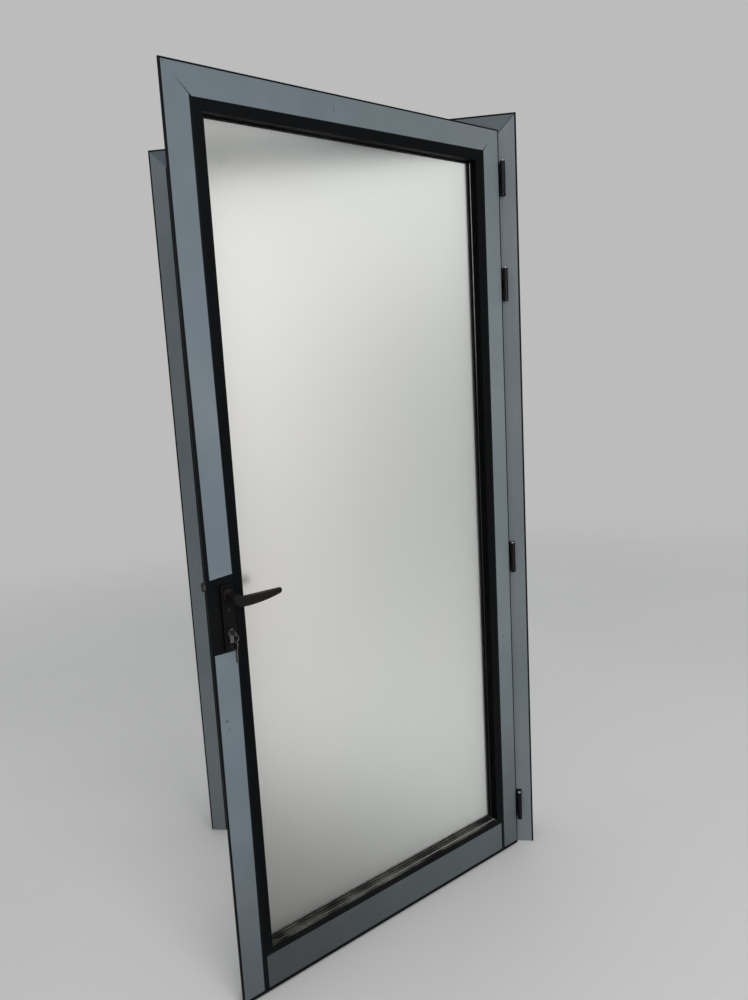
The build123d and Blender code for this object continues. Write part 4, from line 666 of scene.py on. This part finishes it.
leaf_sheets("latch_stile_film_upper", 21, ("z", LEAF_LEFT, 1), upper_strip)
leaf_sheets("latch_stile_film_lower", 23, ("z", LEAF_LEFT, 1), lower_strip)
leaf_sheets("hinge_stile_film", 25, ("z", LEAF_RIGHT, -1), hinge_strip)
leaf_sheets("top_rail_film", 27, ("x", LEAF_TOP, -1), top_strip)
leaf_sheets("bottom_rail_film", 29, ("x", rail_low[2], 1), rail_strip, rail_film)

# The light lines beside the pane: a fine half-round rib along the ledge of the foot bead, and the step of the
# hinge bead, coloured light grey as a painted highlight where the beads' edges catch the light. It fades
# along each of them.
RIB_RADIUS = 1.3 * MM
RIB_DEPTH = 10.0 * MM           # how far the foot bead's rib lies behind the leaf's face
STEP_DEPTH = 24.0 * MM          # how far the hinge bead's step lies behind it
BEAD_STEP = 2.5 * MM
DULL_SHARE = 0.06               # how much of the painted highlight shows at the dull end
HIGHLIGHT_SPECKS = 0.25, 0.75, 0.6, 1.0      # from and to in the noise, and the share that shows there
foot_bead = shut_box("glazing_bead_bottom")
hinge_bead = shut_box("glazing_bead_hinge")
BEAD_FOOT, BEAD_WIDE = foot_bead[0][2], foot_bead[1][2] - foot_bead[0][2]


def half_round(start, end, out, side, radius, turns=7, steps=60):
    """A half-round rib from start to end: points at start + t * way + radius * (cos a * side + sin a * out),
    with a from 0 to 180 degrees, closed by its flat underside and its two ends."""
    way = (end - start)[None, None, :] * np.linspace(0.0, 1.0, steps)[:, None, None]
    angle = np.linspace(0.0, math.pi, turns)[None, :, None]
    points = start + way + radius * (np.cos(angle) * side + np.sin(angle) * out)
    number = np.arange(steps * turns).reshape(steps, turns)
    wrap = np.roll(number, -1, axis=1)
    quads = np.stack([number[:-1], wrap[:-1], wrap[1:], number[1:]], axis=-1).reshape(-1, 4)
    ends = [number[0, ::-1].tolist(), number[-1].tolist()]
    return outward(opened(points.reshape(-1, 3)), quads.tolist() + ends)


def highlight_line(name, colour, axis, dull, bright):
    """A painted highlight in specks: nearly the coat's black at the place called dull on the shut leaf's
    axis, grown to the highlight's grey at the place called bright."""
    material, tree, shader, at = new_finish(name, Roughness=0.35, Specular_IOR_Level=0.4)
    at = shut_coordinates(tree, at)
    wear_and_highlight = ranged(tree, split(tree, at)[axis], dull, bright, DULL_SHARE, 1.0)
    specks = ranged(tree, noise(tree, at, 60.0, 3.0), *HIGHLIGHT_SPECKS)
    shown = math_node(tree, "MULTIPLY", wear_and_highlight, specks)
    tree.links.new(mixed(tree, shown, BLACK_COAT, colour), shader.inputs["Base Color"])
    bumped(tree, shader, noise(tree, at, 400.0, 2.0), strength=0.15, distance=0.3 * MM)
    return material


IN_X, IN_Y, IN_Z = np.eye(3)
ledge_z = BEAD_FOOT + BEAD_WIDE - BEAD_STEP
rib_y = FACES["face"][0] + RIB_DEPTH
rib_left, rib_right = foot_bead[0][0] + BEAD_WIDE, foot_bead[1][0] - BEAD_WIDE
rib = half_round(
    np.array([rib_left, rib_y, ledge_z]), np.array([rib_right, rib_y, ledge_z]), IN_Z, IN_Y, RIB_RADIUS)
# painted highlight: the rib's light grey stands for light caught on the foot bead's edge, fading towards the
# latch side
foot_rib_highlight = highlight_line("rib painted highlight", (0.34, 0.35, 0.34, 1.0), 0, rib_left - 0.15, rib_right)
new_piece("foot_bead_rib", [rib], foot_rib_highlight, "leaf")
step_x = hinge_bead[0][0] + BEAD_STEP / 2
step_y = FACES["face"][0] + STEP_DEPTH
step_low, step_high = hinge_bead[0][2] + BEAD_WIDE, hinge_bead[1][2] - BEAD_WIDE
step_line = half_round(
    np.array([step_x, step_y, step_low]), np.array([step_x, step_y, step_high]), -IN_Y, IN_X,
    BEAD_STEP / 2 - 0.1 * MM)
# painted highlight: the step's light grey stands for light caught on the hinge bead's edge, fading out
# downwards
hinge_step_highlight = highlight_line("step painted highlight", (0.30, 0.31, 0.31, 1.0), 2, 1.32, 1.75)
new_piece("hinge_bead_step_line", [step_line], hinge_step_highlight, "leaf")

# The pane: 8 mm float glass, acid-etched on both faces so that it only lets light through. It is clean but
# for a faint smeared patch high up near the latch side.
CLEAN_TONES = (0.93, 0.95, 0.94, 1.0), (0.965, 0.96, 0.95, 1.0)     # from one cloud to the next
SMEAR_TONE = (0.80, 0.86, 0.80, 1.0)
SMEAR_PLACE = (-0.869, 0.010, 1.981)        # on the pane's face, with the leaf shut
SMEAR_EDGE = 0.008, 0.034, 1.0, 0.0         # it dies away between these distances from there
SMEAR_STREAKS = 0.42, 0.62, 0.15, 0.8       # from and to in the noise, and how much is smeared there
SMEAR_STRETCH = 1.0, 1.0, 0.4               # the streaks run along Z
GLASS_ROUGHNESS = 0.37, 0.40


def etched_glass():
    """Rough transmission, with faint clouds in its tone and its roughness and the smeared patch."""
    material, tree, shader, at = new_finish(
        "etched glass", Transmission_Weight=1.0, IOR=1.5, Specular_IOR_Level=0.5)
    at = shut_coordinates(tree, at)
    clean = mixed(tree, clouded(tree, at, 1.3, 2.0), *CLEAN_TONES)
    away = tree.nodes.new("ShaderNodeVectorMath")
    away.operation = "DISTANCE"
    tree.links.new(at, away.inputs[0])
    away.inputs[1].default_value = SMEAR_PLACE
    wiped = ranged(tree, noise(tree, at, 75.0, 3.0, stretch=SMEAR_STRETCH), *SMEAR_STREAKS)
    smear = math_node(tree, "MULTIPLY", ranged(tree, away.outputs["Value"], *SMEAR_EDGE), wiped)
    tree.links.new(mixed(tree, smear, clean, SMEAR_TONE), shader.inputs["Base Color"])
    tree.links.new(clouded(tree, at, 1.1, 1.0, *GLASS_ROUGHNESS), shader.inputs["Roughness"])
    return material


finish_nodes(etched_glass(), "glass_pane")

# Rubber: the stop gasket on the frame, the lip in the leaf's flange and the strips each side of the pane,
# extruded in black rubber with a faint grey bloom. The setting blocks under the pane are hard plastic.
BLACK_RUBBER = (0.012, 0.012, 0.013, 1.0)
RUBBER_BLOOM = (0.06, 0.06, 0.06, 1.0)
BLOOM_PATCHES = 0.5, 0.75, 0.0, 0.25    # from and to in the noise, and how much bloom there is
RUBBER_ROUGHNESS = 0.55, 0.75


def rubber(name, colour=BLACK_RUBBER):
    """Matt rubber: grey bloom in patches and a dull, slightly uneven skin."""
    material, tree, shader, at = new_finish(name, Specular_IOR_Level=0.25)
    bloom = ranged(tree, noise(tree, at, 30.0, 3.0), *BLOOM_PATCHES)
    tree.links.new(mixed(tree, bloom, colour, RUBBER_BLOOM), shader.inputs["Base Color"])
    tree.links.new(clouded(tree, at, 45.0, 2.0, *RUBBER_ROUGHNESS), shader.inputs["Roughness"])
    bumped(tree, shader, noise(tree, at, 500.0, 2.0), strength=0.2, distance=0.3 * MM)
    return material


finish_nodes(
    rubber("black rubber"), "frame_gasket", "leaf_gasket", "glazing_gasket_front", "glazing_gasket_rear")
finish_nodes(rubber("block plastic", (0.05, 0.052, 0.055, 1.0)), "setting_blocks")

# Corner brackets and joining blocks: die-cast alloy, pushed into the hollow bars where they meet and crimped
# there.
TARNISH_SHARE = (0.45, 0.45, 0.45, 1.0)     # tarnish is this share of the metal's colour
TARNISH_PATCHES = 0.45, 0.75                # the part of the noise over which a patch of it grows


def plain_metal(name, colour, rough=(0.3, 0.45), grain=(1.0, 1.0, 1.0), grain_scale=260.0, tarnish=0.25):
    """Bare or plated metal: a grain in roughness and normal, stretched by grain, and darker tarnish in
    patches. rough gives the roughness from one line of the grain to the next."""
    material, tree, shader, at = new_finish(name, Metallic=1.0)
    patch = ranged(tree, noise(tree, at, 55.0, 4.0), *TARNISH_PATCHES, 0.0, tarnish)
    tarnished = mixed(tree, patch, colour, share_of(colour, TARNISH_SHARE))
    tree.links.new(tarnished, shader.inputs["Base Color"])
    lines = noise(tree, at, grain_scale, 3.0, stretch=grain)
    tree.links.new(ranged(tree, lines, *NOISE_MIDDLE, *rough), shader.inputs["Roughness"])
    bumped(tree, shader, lines, strength=0.12, distance=0.2 * MM)
    return material


cast_alloy = plain_metal("cast alloy", (0.52, 0.52, 0.53, 1.0), (0.45, 0.6))
finish_nodes(cast_alloy, "frame_corner_cleats", "leaf_corner_cleats")

# The hinges: cranked steel wings, pressed and blackened, on a plain steel pin whose mushroom head shows bare
# on top of each barrel. Countersunk screws hold them.
HINGE_BLACK = (0.0045, 0.005, 0.0058, 1.0)
hinge_coat = black_coat("hinge coat", HINGE_BLACK, rough=(0.34, 0.46), shine=0.12, dust=0.6)
pin_steel = plain_metal("pin steel", (0.55, 0.56, 0.57, 1.0))
for k in (1, 2, 3, 4):
    finish_nodes(hinge_coat, f"hinge_frame_leaf_{k}", f"hinge_door_leaf_{k}")
    finish_nodes(pin_steel, f"hinge_pin_{k}")
finish_nodes(plain_metal("dark zinc", (0.22, 0.22, 0.225, 1.0)), "frame_screws", "hinge_leaf_screws")

# The mortise lock: brushed steel case and faceplate let into the latch stile, with its bolts and hub, and
# the strike plate opposite.
LOCK_STEEL = (0.50, 0.50, 0.49, 1.0)
BRUSHED = (6.0, 6.0, 0.3)       # the grain is drawn out along Z
lock_steel = plain_metal("brushed steel", LOCK_STEEL, (0.26, 0.42), grain=BRUSHED, grain_scale=180.0)
finish_nodes(lock_steel, "lock_case", "lock_faceplate", "latch_bolt", "deadbolt")
finish_nodes(lock_steel, "spindle", "lock_hub", "strike_plate")
nickel = plain_metal("nickel plate", (0.145, 0.142, 0.136, 1.0), (0.24, 0.38), tarnish=0.5)
finish_nodes(nickel, "cylinder_body", "cylinder_plug", "key", "spare_key")
finish_nodes(plain_metal("ring wire", (0.15, 0.147, 0.142, 1.0), (0.2, 0.3)), "key_ring")

# The handles: a cast lever on a slim plate on each side of the leaf, in a warm brown-black coat that is
# glossier than the bars' coat.
LEVER_BLACK = (0.0075, 0.0058, 0.0056, 1.0)
PLATE_BLACK = (0.0030, 0.0031, 0.0033, 1.0)
handle_coat = black_coat("lever coat", LEVER_BLACK, rough=(0.28, 0.40), shine=0.13)
finish_nodes(handle_coat, "lever_inside", "lever_outside")
plate_coat = black_coat("plate coat", PLATE_BLACK, rough=(0.34, 0.46), shine=0.09)
finish_nodes(plate_coat, "handle_plate_inside", "handle_plate_outside")
finish_nodes(black_coat("blackened screws", rough=(0.3, 0.45), shine=0.25), "handle_screws")

# The brush strip: a dense dark pile, drawn as one plain strip, in a groove under the bottom rail, where it
# closes the gap above the floor.
finish_nodes(rubber("brush pile", (0.02, 0.02, 0.02, 1.0)), "bottom_brush_seal")

# Studio: a pale floor that fades into an even pale surround, a soft light from high on the right, and a
# bright room behind the obscured pane, which shows through it as a broad glow.
FLOOR_COLOUR = (0.70, 0.70, 0.69, 1.0)
FLOOR_UNLIT = (0.20, 0.20, 0.195, 1.0)  # what the floor throws back up at the door
FLOOR_DARKER = (0.97, 0.97, 0.97, 1.0)  # between its clouds
FLOOR_FADE = 2.6, 6.0, 1.0, 0.0         # it fades out between these distances from the door
FLOOR_REACH = 30.0
BACKDROP = (0.50, 0.505, 0.50, 1.0)
FILL_TINT = (0.97, 0.985, 1.0, 1.0)
FILL = 0.60


def looked_at(tree):
    """The rays that start at the camera or leave a glossy face, and those that come through the glass."""
    path = tree.nodes.new("ShaderNodeLightPath")
    camera_ray, glossy_ray = path.outputs["Is Camera Ray"], path.outputs["Is Glossy Ray"]
    return math_node(tree, "ADD", camera_ray, glossy_ray, clamp=True), path.outputs["Is Transmission Ray"]


def pale_floor():
    """A level floor with a faint cloud in its tone, see-through far from the door and to light through the
    glass."""
    mesh = bpy.data.meshes.new("floor")
    corners = [(-FLOOR_REACH, -FLOOR_REACH), (FLOOR_REACH, -FLOOR_REACH)]
    corners += [(FLOOR_REACH, FLOOR_REACH), (-FLOOR_REACH, FLOOR_REACH)]
    mesh.from_pydata([(x, y, 0.0) for x, y in corners], [], [(0, 1, 2, 3)])
    floor = bpy.data.objects.new("floor", mesh)
    bpy.context.scene.collection.objects.link(floor)
    material, tree, shader, at = new_finish("pale floor", Roughness=0.75, Specular_IOR_Level=0.2)
    seen, through = looked_at(tree)
    tone = mixed(tree, clouded(tree, at, 0.9, 4.0), share_of(FLOOR_COLOUR, FLOOR_DARKER), FLOOR_COLOUR)
    tree.links.new(mixed(tree, seen, FLOOR_UNLIT, tone), shader.inputs["Base Color"])
    away = tree.nodes.new("ShaderNodeVectorMath")
    away.operation = "LENGTH"
    tree.links.new(at, away.inputs[0])
    fade = ranged(tree, away.outputs["Value"], *FLOOR_FADE)
    kept = math_node(tree, "SUBTRACT", 1.0, through)
    tree.links.new(math_node(tree, "MULTIPLY", fade, kept), shader.inputs["Alpha"])
    mesh.materials.append(material)


# The room's glow, by the way that a ray goes. Each row is from and to in X or Z, and the level at both.
ROOM_LEVEL = 0.475
ROOM_TINT = (0.985, 1.015, 0.985, 1.0)
WINDOW_TINT = (1.02, 0.985, 0.96, 1.0)
WINDOW_SIDE = -0.275, -0.15, 1.0, 0.0       # in X: a window on the left
WINDOW_GLOW = -0.52, 0.12, 0.0, 0.46        # in Z: what it adds, more of it higher up
CEILING_GLOW = 0.05, 0.22, 0.0, 0.46        # in Z: what the ceiling adds
CEILING_HID = 0.45                          # the window hides this much of that
GROUND_GLOW = -0.46, -0.30, 0.40, 0.0       # in Z: what the floor behind the door adds
HEAD_SLANT, HEAD_SHADE = -0.6, (0.43, 0.53, 1.0, 0.10)      # in Z + slant * X: dark above the pane's head
FOOT_SLANT, FOOT_SHADE = 0.18, (-0.59, -0.51, 0.0, 1.0)     # and below its foot


def room_glow(tree, glow):
    """What the glass lets through, by direction: a level that is highest up on the left, duller and greener
    to the right, lifted a little towards the floor, and dark below the pane's foot and above its head. The
    level is room + window + ceiling + ground, times the head's and the foot's shade."""
    x, _, z = split(tree, tree.nodes.new("ShaderNodeTexCoord").outputs["Generated"])
    left = ranged(tree, x, *WINDOW_SIDE)
    window = math_node(tree, "MULTIPLY", left, ranged(tree, z, *WINDOW_GLOW))
    beside = math_node(tree, "SUBTRACT", 1.0, math_node(tree, "MULTIPLY", left, CEILING_HID))
    ceiling = math_node(tree, "MULTIPLY", ranged(tree, z, *CEILING_GLOW), beside)
    level = math_node(tree, "ADD", window, ROOM_LEVEL)
    for extra in (ceiling, ranged(tree, z, *GROUND_GLOW)):
        level = math_node(tree, "ADD", level, extra)
    for slant, shade in ((HEAD_SLANT, HEAD_SHADE), (FOOT_SLANT, FOOT_SHADE)):
        slanted = math_node(tree, "ADD", z, math_node(tree, "MULTIPLY", x, slant))
        level = math_node(tree, "MULTIPLY", level, ranged(tree, slanted, *shade))
    tree.links.new(level, glow.inputs["Strength"])
    tree.links.new(mixed(tree, left, ROOM_TINT, WINDOW_TINT), glow.inputs["Color"])


def surround():
    """The world: an even fill for the light, the plain backdrop for the camera and for gloss, and the room's
    glow for what comes through the glass."""
    world = bpy.data.worlds.new("studio")
    bpy.context.scene.world = world
    world.use_nodes = True
    tree = world.node_tree
    fill = tree.nodes["Background"]
    fill.inputs["Color"].default_value = FILL_TINT
    fill.inputs["Strength"].default_value = FILL
    plain = add_node(tree, "ShaderNodeBackground", Color=BACKDROP, Strength=1.0)
    glow = tree.nodes.new("ShaderNodeBackground")
    room_glow(tree, glow)
    shown = fill.outputs["Background"]
    for mask, background in zip(looked_at(tree), (plain, glow)):
        either = tree.nodes.new("ShaderNodeMixShader")
        tree.links.new(mask, either.inputs["Fac"])
        tree.links.new(shown, either.inputs[1])
        tree.links.new(background.outputs["Background"], either.inputs[2])
        shown = either.outputs["Shader"]
    tree.links.new(shown, tree.nodes["World Output"].inputs["Surface"])


def softbox(name, place, target, size, power, colour):
    """A rectangular lamp at place that faces target."""
    lamp = bpy.data.lights.new(name, "AREA")
    lamp.shape = "RECTANGLE"
    lamp.size, lamp.size_y = size
    lamp.energy = power
    lamp.color = colour
    light = bpy.data.objects.new(name, lamp)
    light.location = place
    light.rotation_euler = (Vector(target) - Vector(place)).to_track_quat("-Z", "Y").to_euler()
    light.visible_camera = False
    bpy.context.scene.collection.objects.link(light)


pale_floor()
surround()
softbox(
    "high softbox", place=(2.6, -4.6, 2.9), target=(-0.4, -0.2, 1.2), size=(3.2, 3.2), power=176.0,
    colour=(1.0, 0.99, 0.98))

# The camera stands where the picture was taken from: just in front of the hinge side, at eye height, looking
# slightly left and down. Its place and axes were solved from the door's straight edges.
CAMERA_PLACE = (-0.068495, -2.325178, 1.493004)
CAMERA_RIGHT = (0.98804262, 0.14425442, -0.05442834)
CAMERA_DOWN = (-0.03068609, -0.16196748, -0.98631886)
CAMERA_AHEAD = (-0.15109648, 0.97619527, -0.15560417)
LENS = 27.729
camera = bpy.data.objects.new("camera", bpy.data.cameras.new("camera"))
camera.data.lens = LENS
camera.data.clip_start = 0.05
axes = Matrix((CAMERA_RIGHT, [-c for c in CAMERA_DOWN], [-c for c in CAMERA_AHEAD])).transposed()
camera.matrix_world = Matrix.Translation(CAMERA_PLACE) @ axes.to_4x4()
bpy.context.scene.collection.objects.link(camera)
bpy.context.scene.camera = camera
bpy.context.scene.view_settings.view_transform = "Standard"
